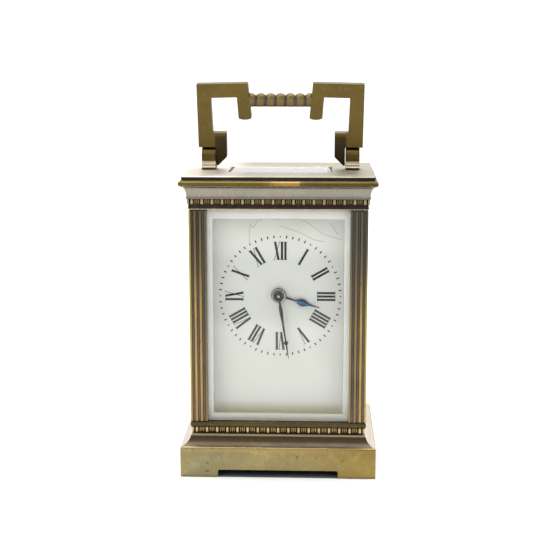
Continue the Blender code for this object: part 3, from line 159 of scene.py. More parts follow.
def brass(name, gold, brown, dark, rough=0.3, mottle=0.6, patch=42.0, specks=0.5, crevice=1.6 * mm,
          grain=(1.0, 1.0, 1.0), fade=None, relief=0.25, wash=None, vary=1.0):
    """Old lacquered brass: cloudy patches of tarnish, dark pits, brown in the corners."""
    g = Graph(name)
    cloud = g.noise(patch, 5.0, distortion=0.6)
    fine = g.noise(patch * 9.0, 6.0)
    streak = g.noise(patch * 26.0, 3.0, stretch=grain)
    colour = g.blend(cloud, 0.38, 0.66, mottle, gold, brown)
    pale = tuple(min(1.0, c * 1.25 + 0.05) for c in gold)
    colour = g.blend(fine, 0.52, 0.75, (0.45 * mottle + 0.1) * vary, colour, pale)
    if fade:
        colour = g.blend(g.height(), *fade, colour, dark)
    if wash:
        colour = wash(g, colour)
    pits = g.ramp(g.noise(430.0, 2.0), 0.70, 0.76, 0.0, specks)
    colour = g.mix(pits, colour, dark)
    # Darker and rougher in corners and crevices, where the ambient occlusion mask finds them.
    corner = g.add("ShaderNodeAmbientOcclusion", samples=4)
    corner.inputs["Distance"].default_value = crevice
    occlusion_dark = g.ramp(corner.outputs["AO"], 0.35, 0.9, 0.85, 0.0)
    colour = g.mix(occlusion_dark, colour, dark)
    worn = g.ramp(fine, 0.3, 0.7, rough - 0.07 * vary, rough + 0.09 * vary)
    roughness = g.math("ADD", worn, g.both(occlusion_dark, 0.2))
    grit = g.math("ADD", g.both(streak, 0.6), g.both(fine, 0.8))
    normal = g.bump(g.math("SUBTRACT", grit, pits), relief, 0.03 * mm)
    return g.surface(colour, roughness, 1.0, normal)


def steel(name, colour, tint, rough=0.25, patch=220.0):
    """Polished steel with faint grain and a change of tint."""
    g = Graph(name)
    shade = g.mix(g.ramp(g.noise(patch, 4.0), 0.35, 0.65), colour, tint)
    grain = g.noise(patch * 12.0, 3.0, stretch=(1.0, 1.0, 4.0))
    roughness = g.ramp(grain, 0.3, 0.7, rough - 0.06, rough + 0.1)
    return g.surface(shade, roughness, 1.0, g.bump(grain, 0.12, 0.02 * mm))


def enamel(name):
    """White vitreous enamel, wavy and glossy: greyer at mid height, warm at the top, olive at the foot."""
    g = Graph(name)
    cloud = g.noise(26.0, 3.0)
    colour = g.mix(g.ramp(cloud, 0.35, 0.7), (0.575, 0.575, 0.535), (0.63, 0.63, 0.595))
    low, high = BOX["dial"]
    centre = g.band(g.height(), 72 * mm, 94 * mm, 9 * mm, 0.8)
    colour = g.mix(centre, colour, (0.485, 0.49, 0.46))
    warm = g.both(g.ramp(g.height(), high.z - 12 * mm, high.z - 2 * mm),
                  g.ramp(g.noise(70.0, 2.0), 0.42, 0.62, 0.25, 0.8))
    colour = g.mix(warm, colour, (0.50, 0.49, 0.42))
    colour = g.blend(g.height(), low.z + 9.0 * mm, low.z + 1.0 * mm, 0.95, colour, (0.35, 0.325, 0.165))
    colour = g.blend(g.noise(1500.0, 2.0), 0.72, 0.78, 0.25, colour, (0.45, 0.43, 0.38))
    normal = g.bump(g.noise(60.0, 2.0), 0.10, 0.2 * mm)
    roughness = g.ramp(cloud, 0.3, 0.7, 0.12, 0.22)
    return g.surface(colour, roughness, 0.0, normal, Coat_Weight=0.4, Coat_Roughness=0.05)


def ink(name, upper, lower):
    """Fired black, a little paler towards the foot of the dial."""
    g = Graph(name)
    low, high = BOX["dial"]
    middle = (low.z + high.z) / 2
    colour = g.mix(g.ramp(g.height(), middle - 8 * mm, middle + 16 * mm), lower, upper)
    colour = g.blend(g.noise(900.0, 3.0), 0.5, 0.75, 0.12, colour, (0.10, 0.105, 0.11))
    return g.surface(colour, g.ramp(g.noise(500.0, 2.0), 0.3, 0.7, 0.45, 0.6), 0.0, Specular_IOR_Level=0.2)


def clear_glass(name, tint=(0.975, 0.984, 0.977), rough=0.0, painted_reflection=0.0, reflection_colour=(0.97, 0.97, 0.94), index=1.26,
                dusty=0.12):
    """Plate glass that lets lamps through, with a few specks of dust, and a diffuse film over it as a painted
    reflection.
    """
    g = Graph(name)
    glass = g.add("ShaderNodeBsdfPrincipled")
    dust = g.ramp(g.noise(700.0, 3.0), 0.72, 0.80, rough, rough + dusty)
    g.link((*tint, 1.0), glass.inputs["Base Color"])
    g.link(dust, glass.inputs["Roughness"])
    g.link(1.0, glass.inputs["Transmission Weight"])
    g.link(index, glass.inputs["IOR"])
    clear = g.add("ShaderNodeBsdfTransparent")
    g.link((*tint, 1.0), clear.inputs["Color"])
    path = g.add("ShaderNodeLightPath")
    through = g.math("MAXIMUM", path.outputs["Is Shadow Ray"], path.outputs["Is Diffuse Ray"])
    blend = g.add("ShaderNodeMixShader")
    g.link(through, blend.inputs[0])
    g.link(glass.outputs[0], blend.inputs[1])
    g.link(clear.outputs[0], blend.inputs[2])
    # Diffuse film mixed over the glass: a painted reflection.
    film = g.add("ShaderNodeBsdfDiffuse")
    g.link((*reflection_colour, 1.0), film.inputs["Color"])
    cover = g.add("ShaderNodeMixShader")
    g.link(g.ramp(g.noise(300.0, 3.0), 0.3, 0.7, painted_reflection * 0.96, painted_reflection), cover.inputs[0])
    g.link(blend.outputs[0], cover.inputs[1])
    g.link(film.outputs[0], cover.inputs[2])
    g.link(cover.outputs[0], g.output.inputs["Surface"])
    return g.owner


def plinth_tone_and_highlight(g, colour):
    """Greyer green to the left, warm gold to the right, and a painted highlight: a warm gold band below the upper
    edge.
    """
    cool = g.mix(g.ramp(g.noise(38.0, 3.0), 0.35, 0.65, 0.3, 0.85), colour, (0.205, 0.195, 0.118))
    colour = g.mix(g.ramp(g.along("X"), 5 * mm, -35 * mm), colour, cool)
    # Painted highlight: warm gold band below the plinth's upper edge.
    colour = g.blend(g.height(), 10.6 * mm, 12.6 * mm, 0.6, colour, (0.46, 0.33, 0.13))
    return g.blend(g.along("X"), 5 * mm, 38 * mm, 0.55, colour, (0.25, 0.168, 0.03))


def edge_wash(g, colour):
    """Orange patch at the middle, darker to the right of it."""
    colour = g.blend(g.along("X"), 8 * mm, 16 * mm, 0.45, colour, (0.05, 0.04, 0.016))
    orange_patch = g.both(g.ramp(g.along("X"), -8 * mm, 4 * mm, 0.0, 0.95), g.ramp(g.along("X"), 10 * mm, 8.5 * mm))
    return g.mix(orange_patch, colour, (0.36, 0.215, 0.06))


def deck_wash(g, colour):
    """Paler towards the left of the top plate."""
    return g.blend(g.along("X"), -12 * mm, -26 * mm, 0.85, colour, (0.68, 0.61, 0.54))


def cove_painted_light(g, colour):
    """Painted shadow in dark olive over the upper part of the base cove, a painted highlight in pale brown at its
    foot, and a painted highlight along its top edge.
    """
    # Painted shadow on the upper cove, then painted highlights at its foot and at its top edge.
    colour = g.blend(g.height(), 14.3 * mm, 15.9 * mm, 0.95, colour, (0.062, 0.046, 0.022))
    colour = g.blend(g.height(), 14.0 * mm, 13.7 * mm, 0.8, colour, (0.40, 0.31, 0.19))
    return g.blend(g.height(), 17.65 * mm, 17.95 * mm, 0.9, colour, (0.36, 0.29, 0.17))


def handle_painted_shade(g, colour):
    """Painted shade: dark inner foot of each arm beside its post."""
    inner = g.ramp(g.math("ABSOLUTE", g.along("X")), 30.0 * mm, 28.6 * mm)
    foot = g.ramp(g.height(), 149.2 * mm, 147.2 * mm, 0.0, 0.8)
    # Painted shade where the arm's inner foot sits beside the post.
    return g.mix(g.both(inner, foot), colour, (0.030, 0.022, 0.014))


def pillar_wash(g, colour):
    """Green-grey bloom at the upper right, brown streaks, a gold outer edge, orange brown lower down."""
    right = g.ramp(g.along("X"), 0.0, 20 * mm)
    bloom = g.both(right, g.ramp(g.height(), 62 * mm, 108 * mm, 0.0, 0.62))
    colour = g.mix(bloom, colour, (0.075, 0.085, 0.07))
    streaks = g.noise(330.0, 1.0, stretch=(1.0, 1.0, 0.012))
    colour = g.blend(streaks, 0.44, 0.6, 0.7, colour, (0.105, 0.085, 0.062))
    aside = g.math("ABSOLUTE", g.along("X"))
    colour = g.blend(aside, 34.2 * mm, 32.8 * mm, 0.5, colour, (0.11, 0.10, 0.075))
    kept = g.math("SUBTRACT", 1.0, g.both(right, g.ramp(g.height(), 60 * mm, 100 * mm)))
    outer = g.both(g.ramp(aside, 37.5 * mm, 37.9 * mm, 0.0, 0.75), kept)
    outer = g.both(outer, g.ramp(g.along("Y"), -30.2 * mm, -30.8 * mm))
    colour = g.mix(outer, colour, (0.34, 0.29, 0.07))
    lower = g.both(g.ramp(g.height(), 80 * mm, 40 * mm), g.ramp(g.noise(45.0, 3.0), 0.42, 0.6, 0.0, 0.3))
    return g.mix(lower, colour, (0.27, 0.17, 0.10))


# Each brass has a name, its gold, the brown of its patches and the dark of its pits and corners.
BRASS = brass("aged_brass", (0.33, 0.268, 0.115), (0.25, 0.185, 0.09), (0.045, 0.030, 0.022),
              specks=0.7, patch=30.0, wash=plinth_tone_and_highlight)
OLIVE = brass("olive_brass", (0.135, 0.097, 0.019), (0.10, 0.07, 0.02), (0.03, 0.02, 0.012),
              mottle=0.5, wash=edge_wash)
PLATE = brass("pale_brass", (0.232, 0.214, 0.17), (0.19, 0.174, 0.15), (0.05, 0.035, 0.03),
              mottle=0.5, specks=0.25, crevice=0.6 * mm, relief=0.02)
DECK = brass("deck_brass", (0.37, 0.335, 0.26), (0.33, 0.295, 0.24), (0.10, 0.08, 0.06),
             rough=0.5, mottle=0.4, specks=0.2, relief=0.1, wash=deck_wash)
# Pale brass: the stepped feet of the handle stands, and a painted highlight on the architrave fillet's lower
# chamfer.
FOOT = brass("foot_brass", (0.66, 0.58, 0.42), (0.56, 0.48, 0.34), (0.06, 0.04, 0.03),
             rough=0.42, mottle=0.4, specks=0.2, crevice=0.5 * mm)
MOULD = brass("brown_brass", (0.225, 0.175, 0.125), (0.18, 0.135, 0.11), (0.10, 0.07, 0.045),
              rough=0.55, mottle=0.7, specks=0.2, crevice=0.3 * mm, relief=0.06, wash=cove_painted_light)
# Pale brass on the side faces of the base cove: a painted reflection.
SIDE_COVE_REFLECTION = brass("side_cove_painted_reflection", (0.62, 0.55, 0.46), (0.55, 0.47, 0.41), (0.10, 0.07, 0.05),
              rough=0.4, mottle=0.5, specks=0.2, relief=0.1)
FILLET = brass("fillet_brass", (0.082, 0.061, 0.025), (0.056, 0.04, 0.022), (0.02, 0.014, 0.01),
               rough=0.34, specks=0.3, relief=0.12)
# Near-black brass: the architrave fillet, painted shade on the plinth's inner walls, and a painted dark reflection
# on the top plate's outer edge.
NEAR_BLACK_AND_SHADE = brass("near_black_brass_and_painted_shade", (0.034, 0.026, 0.021), (0.022, 0.018, 0.018), (0.012, 0.010, 0.009),
             rough=0.4)
HANDLE = brass("handle_brass", (0.122, 0.085, 0.024), (0.094, 0.065, 0.023), (0.025, 0.017, 0.011),
               rough=0.38, mottle=0.7, patch=60.0, specks=0.4, relief=0.15, wash=handle_painted_shade)
RIDGE = brass("pillar_ridge", (0.36, 0.27, 0.085), (0.25, 0.175, 0.075), (0.05, 0.045, 0.035),
              rough=0.34, patch=55.0, grain=(1.0, 1.0, 0.06), fade=(0.055, 0.118, 0.75), wash=pillar_wash)
# Darker brass for the middles of the pillar flutes: painted shade.
FLUTE_SHADE = brass("pillar_flute_painted_shade", (0.165, 0.105, 0.088), (0.115, 0.07, 0.062), (0.03, 0.027, 0.03),
               rough=0.38, patch=70.0, grain=(1.0, 1.0, 0.06), fade=(0.055, 0.118, 0.65), wash=pillar_wash)
REED = brass("reed_gold", (0.215, 0.152, 0.06), (0.145, 0.094, 0.05), (0.04, 0.025, 0.018),
             crevice=0.9 * mm)
TIP = brass("tongue_gold", (0.30, 0.248, 0.152), (0.235, 0.182, 0.105), (0.06, 0.04, 0.03),
            rough=0.34, crevice=0.9 * mm)
BASE_REED = brass("base_reed_gold", (0.39, 0.28, 0.10), (0.28, 0.19, 0.076), (0.05, 0.03, 0.02),
                  crevice=0.8 * mm)
BASE_TIP = brass("base_tongue_gold", (0.52, 0.42, 0.23), (0.42, 0.32, 0.16), (0.08, 0.05, 0.03),
                 rough=0.34, crevice=0.8 * mm)
# Near-black ground of the tongue bands: painted shade in the recess.
GROUND_SHADE = brass("band_ground_painted_shade", (0.07, 0.04, 0.03), (0.045, 0.027, 0.022), (0.015, 0.01, 0.008), rough=0.5)
GRIP_GOLD = brass("grip_gold", (0.182, 0.146, 0.058), (0.136, 0.104, 0.046), (0.03, 0.02, 0.014),
                  rough=0.5, patch=80.0, specks=0.2, relief=0.1)
# Dark brown brass for the grip's grooves: painted shade.
GRIP_GROOVE_SHADE = brass("grip_groove_painted_shade", (0.105, 0.066, 0.05), (0.078, 0.05, 0.042), (0.02, 0.015, 0.014),
                   rough=0.42, specks=0.2, relief=0.12)
GILT = brass("gilt_brass", (0.60, 0.44, 0.18), (0.50, 0.35, 0.145), (0.12, 0.075, 0.035),
             mottle=0.35, patch=40.0, specks=0.06, crevice=0.6 * mm, relief=0.04, vary=0.2)
STEEL = steel("polished_steel", (0.55, 0.55, 0.56), (0.42, 0.42, 0.44))
RING_STEEL = steel("ring_steel", (0.50, 0.50, 0.49), (0.38, 0.38, 0.37), 0.4)
DARK_STEEL = steel("dark_steel", (0.045, 0.045, 0.05), (0.025, 0.025, 0.028), 0.3)
HAND_STEEL = steel("hand_steel", (0.040, 0.038, 0.045), (0.065, 0.06, 0.07), 0.34)
BLUED = steel("blued_steel", (0.010, 0.028, 0.085), (0.012, 0.05, 0.12), 0.3, 160.0)
# Teal steel on the crown of the hour hand's leaf: painted highlight.
LEAF_HIGHLIGHT = steel("teal_painted_highlight", (0.012, 0.06, 0.125), (0.03, 0.15, 0.215), 0.3, 260.0)
ENAMEL = enamel("white_enamel")
INK = ink("numeral_ink", (0.001, 0.002, 0.010), (0.055, 0.06, 0.055))
CRACK = ink("hairline", (0.13, 0.125, 0.095), (0.13, 0.125, 0.095))
GLASS = clear_glass("plate_glass")
RIM_GLASS = clear_glass("glass_edge", (0.62, 0.80, 0.76), 0.08)
# Bevel glass with a pale diffuse film: painted reflection on the bevels.
BEVEL_GLASS = clear_glass("glass_bevel", painted_reflection=0.33, dusty=0.02)
# Crease ring glass with a grey diffuse film: a painted reflection line at the bevel's inner edge.
CREASE_GLASS = clear_glass("glass_crease", (0.72, 0.76, 0.72), 0.1, 0.6, (0.40, 0.41, 0.37))
TOP_GLASS = clear_glass("top_plate_glass", index=1.5, dusty=0.01)


# --- mesh helpers ---------------------------------------------------------------------------------

def placed(axis, u, v, along):
    """World point of plane coordinates at a position along an axis."""
    if axis == "X":
        return Vector((along, u, v))
    if axis == "Y":
        return Vector((u, along, v))
    return Vector((u, v, along))


def rectangle(half_u, half_v, u=0.0, v=0.0):
    """Outline of a rectangle about a centre."""
    return [(u + a * half_u, v + b * half_v) for a, b in ((-1, -1), (1, -1), (1, 1), (-1, 1))]


def rounded(half_u, half_v, corner, u=0.0, v=0.0, steps=6):
    """Outline of a rectangle with round corners."""
    points = []
    for quarter, (a, b) in enumerate(((1, 1), (-1, 1), (-1, -1), (1, -1))):
        for step in range(steps + 1):
            turn = (quarter + step / steps) * pi / 2
            points.append((u + a * (half_u - corner) + corner * cos(turn),
                           v + b * (half_v - corner) + corner * sin(turn)))
    return points


def circle(radius, u=0.0, v=0.0, count=32):
    turns = [2 * pi * i / count for i in range(count)]
    return [(u + radius * cos(turn), v + radius * sin(turn)) for turn in turns]


def skin(bm, low, high):
    """Faces between two rows of as many points, and all the way round."""
    for i in range(len(low)):
        j = (i + 1) % len(low)
        bm.faces.new((low[i], low[j], high[j], high[i]))


def loft(axis, sections, ring=False, bm=None):
    """Solid through equal outlines, (outline, position); a ring joins the last to the first."""
    bm = bm or bmesh.new()
    rows = [[bm.verts.new(placed(axis, u, v, along)) for u, v in outline] for outline, along in sections]
    for low, high in zip(rows, rows[1:] + (rows[:1] if ring else [])):
        skin(bm, low, high)
    if not ring:
        bm.faces.new(list(reversed(rows[0])))
        bm.faces.new(rows[-1])
    return bm


def moulding(profile, axis="Z", u=0.0, v=0.0):
    """Rectangular frame whose section is the closed profile of (half_u, half_v, position).

    A pair in the profile is the half width and height of a moulding that goes round the case.
    """
    corners = [(p[0], p[0] - LOSS, p[1]) if len(p) == 2 else p for p in profile]
    return loft(axis, [(rectangle(a, b, u, v), along) for a, b, along in corners], ring=True)


def turned(axis, u, v, profile, count=40, bm=None):
    """Solid of revolution; the profile is (radius, position) from end to end."""
    return loft(axis, [(circle(r, u, v, count), along) for r, along in profile], bm=bm)


def cove(start, end, first, last, steps):
    """Hollow between two (half, z) points; its slope above level goes from one angle to another."""
    points = []
    for step in range(steps + 1):
        tilt = first + (last - first) * step / steps
        inward = (sin(tilt) - sin(first)) / (sin(last) - sin(first))
        upward = (cos(first) - cos(tilt)) / (cos(first) - cos(last))
        points.append((start[0] + (end[0] - start[0]) * inward, start[1] + (end[1] - start[1]) * upward))
    return points


def thing(name, bm, materials):
    """Scene object made from a bmesh, which is freed."""
    mesh = bpy.data.meshes.new(name)
    bm.to_mesh(mesh)
    bm.free()
    made = bpy.data.objects.new(name, mesh)
    bpy.context.scene.collection.objects.link(made)
    for material in materials:
        mesh.materials.append(material)
    return made


def outward(bm):
    """The same mesh with its faces turned outward."""
    bmesh.ops.recalc_face_normals(bm, faces=bm.faces)
    return bm


def carve(bm, cutter):
    """What is left of a solid outside the cutter, as a new mesh."""
    body, tool = thing("carved", bm, ()), thing("cutter", cutter, ())
    modifier = body.modifiers.new("cut", "BOOLEAN")
    modifier.object = tool
    modifier.solver = "EXACT"
    modifier.operation = "DIFFERENCE"
    mesh = bpy.data.meshes.new_from_object(body.evaluated_get(bpy.context.evaluated_depsgraph_get()))
    result = bmesh.new()
    result.from_mesh(mesh)
    bpy.data.objects.remove(body)
    bpy.data.objects.remove(tool)
    bmesh.ops.dissolve_limit(result, angle_limit=radians(0.5), verts=result.verts, edges=result.edges)
    return result


def piece(name, bm, materials, body, nodes=(), bevel=0.0, sharp=35, segments=2):
    """Piece that rides on a body and stands for CAD nodes; its hard edges are softened by the bevel."""
    materials = materials if isinstance(materials, tuple) else (materials,)
    made = thing(name, outward(bm), materials)
    made.data.shade_smooth()
    made.data.set_sharp_from_angle(angle=radians(sharp))
    if bevel:
        soften = made.modifiers.new("softened", "BEVEL")
        soften.width = bevel
        soften.segments = segments
        soften.limit_method = "ANGLE"
        soften.angle_limit = radians(sharp)
        soften.use_clamp_overlap = False
        soften.harden_normals = True
    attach(made, body)
    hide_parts(*nodes)


def every(face):
    """Test that any face passes."""
    return True


def paint(bm, test, index, first=0):
    """Gives faces from the first on that pass the test another material."""
    bm.faces.ensure_lookup_table()
    for face in bm.faces[first:]:
        if test(face):
            face.material_index = index


def centre_of(face):
    return face.calc_center_median()


# --- case -----------------------------------------------------------------------------------------

def plinth():
    """Bracket plinth: arched apron, cove above it."""
    half, top = PLINTH[1].x, PLINTH[1].z
    apron, inner, neck = 13.6 * mm, half - 4 * mm, BAND[1].x
    throat = neck - 5 * mm
    profile = [(inner, 0.0), (half, 0.0), (half, apron - 0.45 * mm), (half - 0.12 * mm, apron - 0.12 * mm),
               (half - 0.45 * mm, apron + 0.1 * mm)]
    profile += cove((half - 0.6 * mm, apron + 0.16 * mm), (neck + 0.5 * mm, top - 0.8 * mm),
                    radians(24.0), radians(83.0), 20)
    profile += [(neck + 0.12 * mm, top - 0.3 * mm), (neck, top - 0.3 * mm), (neck, top), (throat, top),
                (throat, apron + 1.5 * mm), (inner, apron - 1.0 * mm)]
    bm = moulding(profile)
    gap, rise, reach, chamfer = 26.4 * mm, 3.4 * mm, 50 * mm, 0.5 * mm
    for half_x, half_y in ((gap, reach), (reach, gap - LOSS)):
        opening = rectangle(half_x, half_y)
        arch = loft("Z", [(opening, -mm), (opening, rise - chamfer),
                          (rectangle(half_x - chamfer, half_y - chamfer), rise)])
        bm = carve(outward(bm), outward(arch))
    outward(bm)
    paint(bm, lambda f: centre_of(f).z > apron + 0.05 * mm, 1)
    # Side faces above the apron: painted reflection in pale brass.
    paint(bm, lambda f: centre_of(f).z > apron + 0.05 * mm and abs(f.normal.x) > abs(f.normal.y) + 0.05, 3)
    # Inner walls of the plinth below the apron: near-black painted shade inside the arches.
    paint(bm, lambda f: abs(centre_of(f).x) < inner + 0.1 * mm and centre_of(f).z < apron
          and abs(centre_of(f).y) < inner - LOSS + 0.1 * mm, 2)
    piece("plinth_body", bm, (BRASS, MOULD, NEAR_BLACK_AND_SHADE, SIDE_COVE_REFLECTION), "case", ("base_plinth",), bevel=0.14 * mm)


def base_slab():
    """Dark fillet under the pillars, chamfered below and above."""
    low, high = SLAB[0].z, SLAB[1].z
    half, under, over = SLAB[1].x, 0.25 * mm, 0.4 * mm
    full = rectangle(half, half - LOSS)
    sections = [(rectangle(half - under, half - LOSS - under), low), (full, low + under),
                (full, high - over), (rectangle(half - over, half - LOSS - over), high)]
    piece("base_fillet", loft("Z", sections), FILLET, "case", ("base_plate",), bevel=0.12 * mm)


def bar(bm, centre, along, out, half_width, proud, low, high, tip, index):
    """Upright half-round bar standing out of a band, tapered over the tip at its lower end."""
    first = len(bm.faces)
    sections = []
    taper = ((0.0, 0.05), (0.25 * tip, 0.66), (0.6 * tip, 0.92), (tip, 1.0), (high - low, 1.0))
    for rise, share in taper:
        outline = []
        for step in range(7):
            turn = step / 6 * pi
            side = -cos(turn) * half_width * share
            depth = sin(turn) * proud * share
            outline.append((centre + along * side + out * depth)[:])
        sections.append((outline, low + rise))
    loft("Z", sections, bm=bm)
    paint(bm, every, index, first)


def tongue_band(name, node, half, low, high, pitch_count, reed_start, gold, extra=None):
    """Band of tongues with thin reeds between each pair, on a recessed ground painted dark as shade."""
    ground, chamfer, corner_radius = 0.85 * mm, 0.05 * mm, 0.55 * mm
    tongue, reed, apart, clear = 0.74 * mm, 0.36 * mm, 0.8 * mm, 0.35 * mm
    inner = half - 5 * mm
    bm = moulding([(inner, low), (half - ground, low), (half - ground, high), (inner, high)])
    # Recessed ground behind the tongues and reeds: painted shade.
    paint(bm, every, 2)
    pitch = 2 * half / pitch_count
    corners = [Vector(corner) for corner in rectangle(half, half - LOSS)]
    for start, end in zip(corners, corners[1:] + corners[:1]):
        along = (end - start).normalized()
        out = Vector((along.y, -along.x))
        length = (end - start).length
        count = round(length / pitch)
        step = length / count
        for index in range(count):
            foot = start + along * (index + 0.5) * step - out * ground
            bar(bm, foot, along, out, tongue, ground, low + chamfer, high, 0.7 * mm, 0)
        for index in range(count + 1):
            for aside in (-apart, 0.0, apart):
                place = index * step + aside
                if clear < place < length - clear:
                    foot = start + along * place - out * ground
                    bar(bm, foot, along, out, reed, ground * 0.72, low + reed_start, high, 0.9 * mm, 1)
    for corner in corners:
        sign = Vector((1 if corner.x > 0 else -1, 1 if corner.y > 0 else -1))
        spot = corner - sign * corner_radius
        first = len(bm.faces)
        profile = ((0.2 * mm, low + chamfer), (corner_radius, low + 0.6 * mm), (corner_radius, high))
        turned("Z", spot.x, spot.y, profile, 12, bm)
        paint(bm, every, 0, first)
    if extra:
        extra(bm)
    piece(name, bm, (*gold, GROUND_SHADE, FOOT, NEAR_BLACK_AND_SHADE), "case", (node,))


def bands():
    """Band under the base fillet, and band on the pillars with a dark fillet below it."""
    tongue_band("base_tongue_band", "base_reeded_band", BAND[1].x, BAND[0].z, BAND[1].z, 17, 0.25 * mm,
                (BASE_TIP, BASE_REED))
    low, step, top, half = ARCHITRAVE[0].z, 120.6 * mm, ARCHITRAVE[1].z, 38.7 * mm
    chamfer, rebate = 0.5 * mm, 0.15 * mm

    def fillet(bm):
        first = len(bm.faces)
        part = moulding([(CASE_OPENING, low), (half - chamfer, low), (half, low + chamfer),
                         (half, step - 0.5 * mm), (half - rebate, step - 0.35 * mm), (half - rebate, step),
                         (CASE_OPENING, step)])
        mesh = bpy.data.meshes.new("fillet")
        part.to_mesh(mesh)
        part.free()
        bm.from_mesh(mesh)
        paint(bm, every, 4, first)
        # Lower chamfer in pale brass: a painted highlight where the floor is reflected.
        paint(bm, lambda f: low + 0.05 * mm < centre_of(f).z < low + 0.45 * mm, 3, first)

    tongue_band("cornice_tongue_band", "architrave_reeded_band", 39.3 * mm, step, top, 18, 0.35 * mm,
                (TIP, REED), fillet)


def cornice():
    """Cove cornice under a bright edge, with the seat of the top glass."""
    bottom, top = CORNICE[0].z, CORNICE[1].z
    half, seat, deck = CORNICE[1].x, 130.3 * mm, 128.6 * mm
    neck, throat, lip, crown = 39.6 * mm, 39.35 * mm, 41.85 * mm, 41.7 * mm
    pocket, opening = (23.3 * mm, 15.8 * mm), (20.5 * mm, 13.0 * mm)
    profile = [(CASE_OPENING, bottom), (neck, bottom), (neck, bottom + 0.55 * mm),
               (throat, bottom + 0.6 * mm)]
    profile += cove((throat, bottom + 0.7 * mm), (41.6 * mm, deck), radians(90.0), 0.0, 14)
    profile += [(lip, deck + 0.05 * mm), (lip, deck + 0.35 * mm), (half - 0.35 * mm, deck + 0.4 * mm),
                (half, deck + 0.7 * mm), (half, top - 0.85 * mm), (half - 0.5 * mm, top - 0.35 * mm),
                (crown + 0.05 * mm, top - 0.25 * mm), (crown, top), (*pocket, top), (*pocket, seat),
                (*opening, seat), (*opening, deck), (CASE_OPENING, deck)]
    bm = moulding(profile)
    paint(bm, lambda f: deck + 0.4 * mm < centre_of(f).z < top - 0.3 * mm and abs(f.normal.z) < 0.3, 1)
    piece("cornice_moulding", bm, (PLATE, OLIVE), "case", ("cornice_frame",), bevel=0.06 * mm, sharp=40)


def top_plate():
    """Plate with a round-cornered window; its outer edge is painted near-black as a dark reflection."""
    low, high = TOP[0].z, TOP[1].z
    half = TOP[1].x
    outer, window = (half, half - LOSS), (23.0 * mm, 15.5 * mm)
    corner, bevel, splay = 0.7 * mm, 0.35 * mm, 0.5 * mm
    sections = [(rounded(*outer, corner), low), (rounded(*outer, corner), high - bevel),
                (rounded(outer[0] - bevel, outer[1] - bevel, corner), high),
                (rounded(window[0] + splay, window[1] + splay, 2.8 * mm), high),
                (rounded(*window, 2.5 * mm), high - splay), (rounded(*window, 2.5 * mm), low)]
    bm = outward(loft("Z", sections, ring=True))
    # Outer edge faces: painted dark reflection.
    paint(bm, lambda f: abs(f.normal.z) < 0.2
          and (abs(centre_of(f).y) > 20 * mm or abs(centre_of(f).x) > 30 * mm), 1)
    piece("top_frame", bm, (DECK, NEAR_BLACK_AND_SHADE), "case", ("top_plate",), bevel=0.08 * mm, sharp=30)


def pillars():
    """Square pillars with three round flutes on each outer face; the middle of each flute takes a darker brass as
    painted shade.
    """
    side, edge, width, depth = 7.6 * mm, 0.85 * mm, 1.3 * mm, 0.6 * mm
    space = (side - 2 * edge - 3 * width) / 2
    flutes, kinds = [], []
    for index in range(3):
        start = edge + index * (width + space)
        for step in range(9):
            turn = step / 8 * pi
            flutes.append((start + width / 2 * (1 - cos(turn)), depth * sin(turn)))
            # Middle steps of each flute take the darker brass: painted shade.
            kinds.append(1 if 1 < step < 6 else 0)
    slot_near, slot_far, slot = 1.4 * mm, 4.1 * mm, side - 1.4 * mm
    front = [(side, 0.0), (side, slot_near), (slot, slot_near), (slot, slot_far), (side, slot_far)]
    outline = [(0.0, 0.0)] + flutes + front + [(side, side)]
    marks = [0] + kinds + [0] * len(front) + [0]
    outline += [(v, u) for u, v in reversed(front)] + [(v, u) for u, v in reversed(flutes)]
    marks += [0] * len(front) + [0] + list(reversed(kinds[:-1]))
    for node in ("pillar_front_left", "pillar_front_right", "pillar_rear_left", "pillar_rear_right"):
        box_low, box_high = BOX[node]
        corner_x, side_x = (box_low.x, 1) if box_low.x < 0 else (box_high.x, -1)
        corner_y, side_y = (box_low.y, 1) if box_low.y < 0 else (box_high.y, -1)
        section = [(corner_x + side_x * u, corner_y + side_y * v) for u, v in outline]
        bm = loft("Z", [(section, SLAB[1].z + 0.3 * mm), (section, ARCHITRAVE[0].z - 0.3 * mm)])
        bm.faces.ensure_lookup_table()
        for index, mark in enumerate(marks):
            bm.faces[index].material_index = mark
        name = node.replace("pillar", "fluted_pillar")
        piece(name, bm, (RIDGE, FLUTE_SHADE), "case", (node,), bevel=0.1 * mm, sharp=50)


def pane(name, node, body, axis, facing, bevel, edge):
    """Sheet of glass with a bevel round its outer face; a level sheet has round corners."""
    low, high = BOX[node]
    column = "XYZ".index(axis)
    u, v = [i for i in range(3) if i != column]
    centre = [(low[i] + high[i]) / 2 for i in range(3)]
    half = [(high[i] - low[i]) / 2 for i in range(3)]
    level = axis == "Z"

    def outline(inset, corner):
        if level:
            return rounded(half[u] - inset, half[v] - inset, corner, centre[u], centre[v])
        return rectangle(half[u] - inset, half[v] - inset, centre[u], centre[v])

    back, face = (low[column], high[column]) if facing > 0 else (high[column], low[column])
    shoulder = back + (face - back) * edge
    full, crease = outline(0.0, 2.5 * mm), bevel + 0.24 * mm
    bm = outward(loft(axis, [(full, back), (full, shoulder), (outline(bevel, 1.5 * mm), face),
                             (outline(crease, 1.4 * mm), face)]))
    paint(bm, every, 2)
    paint(bm, lambda f: abs(f.normal[column]) < 0.9999, 1 if level else 3)
    paint(bm, lambda f: abs(f.normal[column]) < 0.3, 1)
    paint(bm, lambda f: f.calc_area() > half[u] * half[v], 0)
    glass = (TOP_GLASS if level else GLASS, RIM_GLASS, CREASE_GLASS, BEVEL_GLASS)
    piece(name, bm, glass, body, (node,), sharp=5)


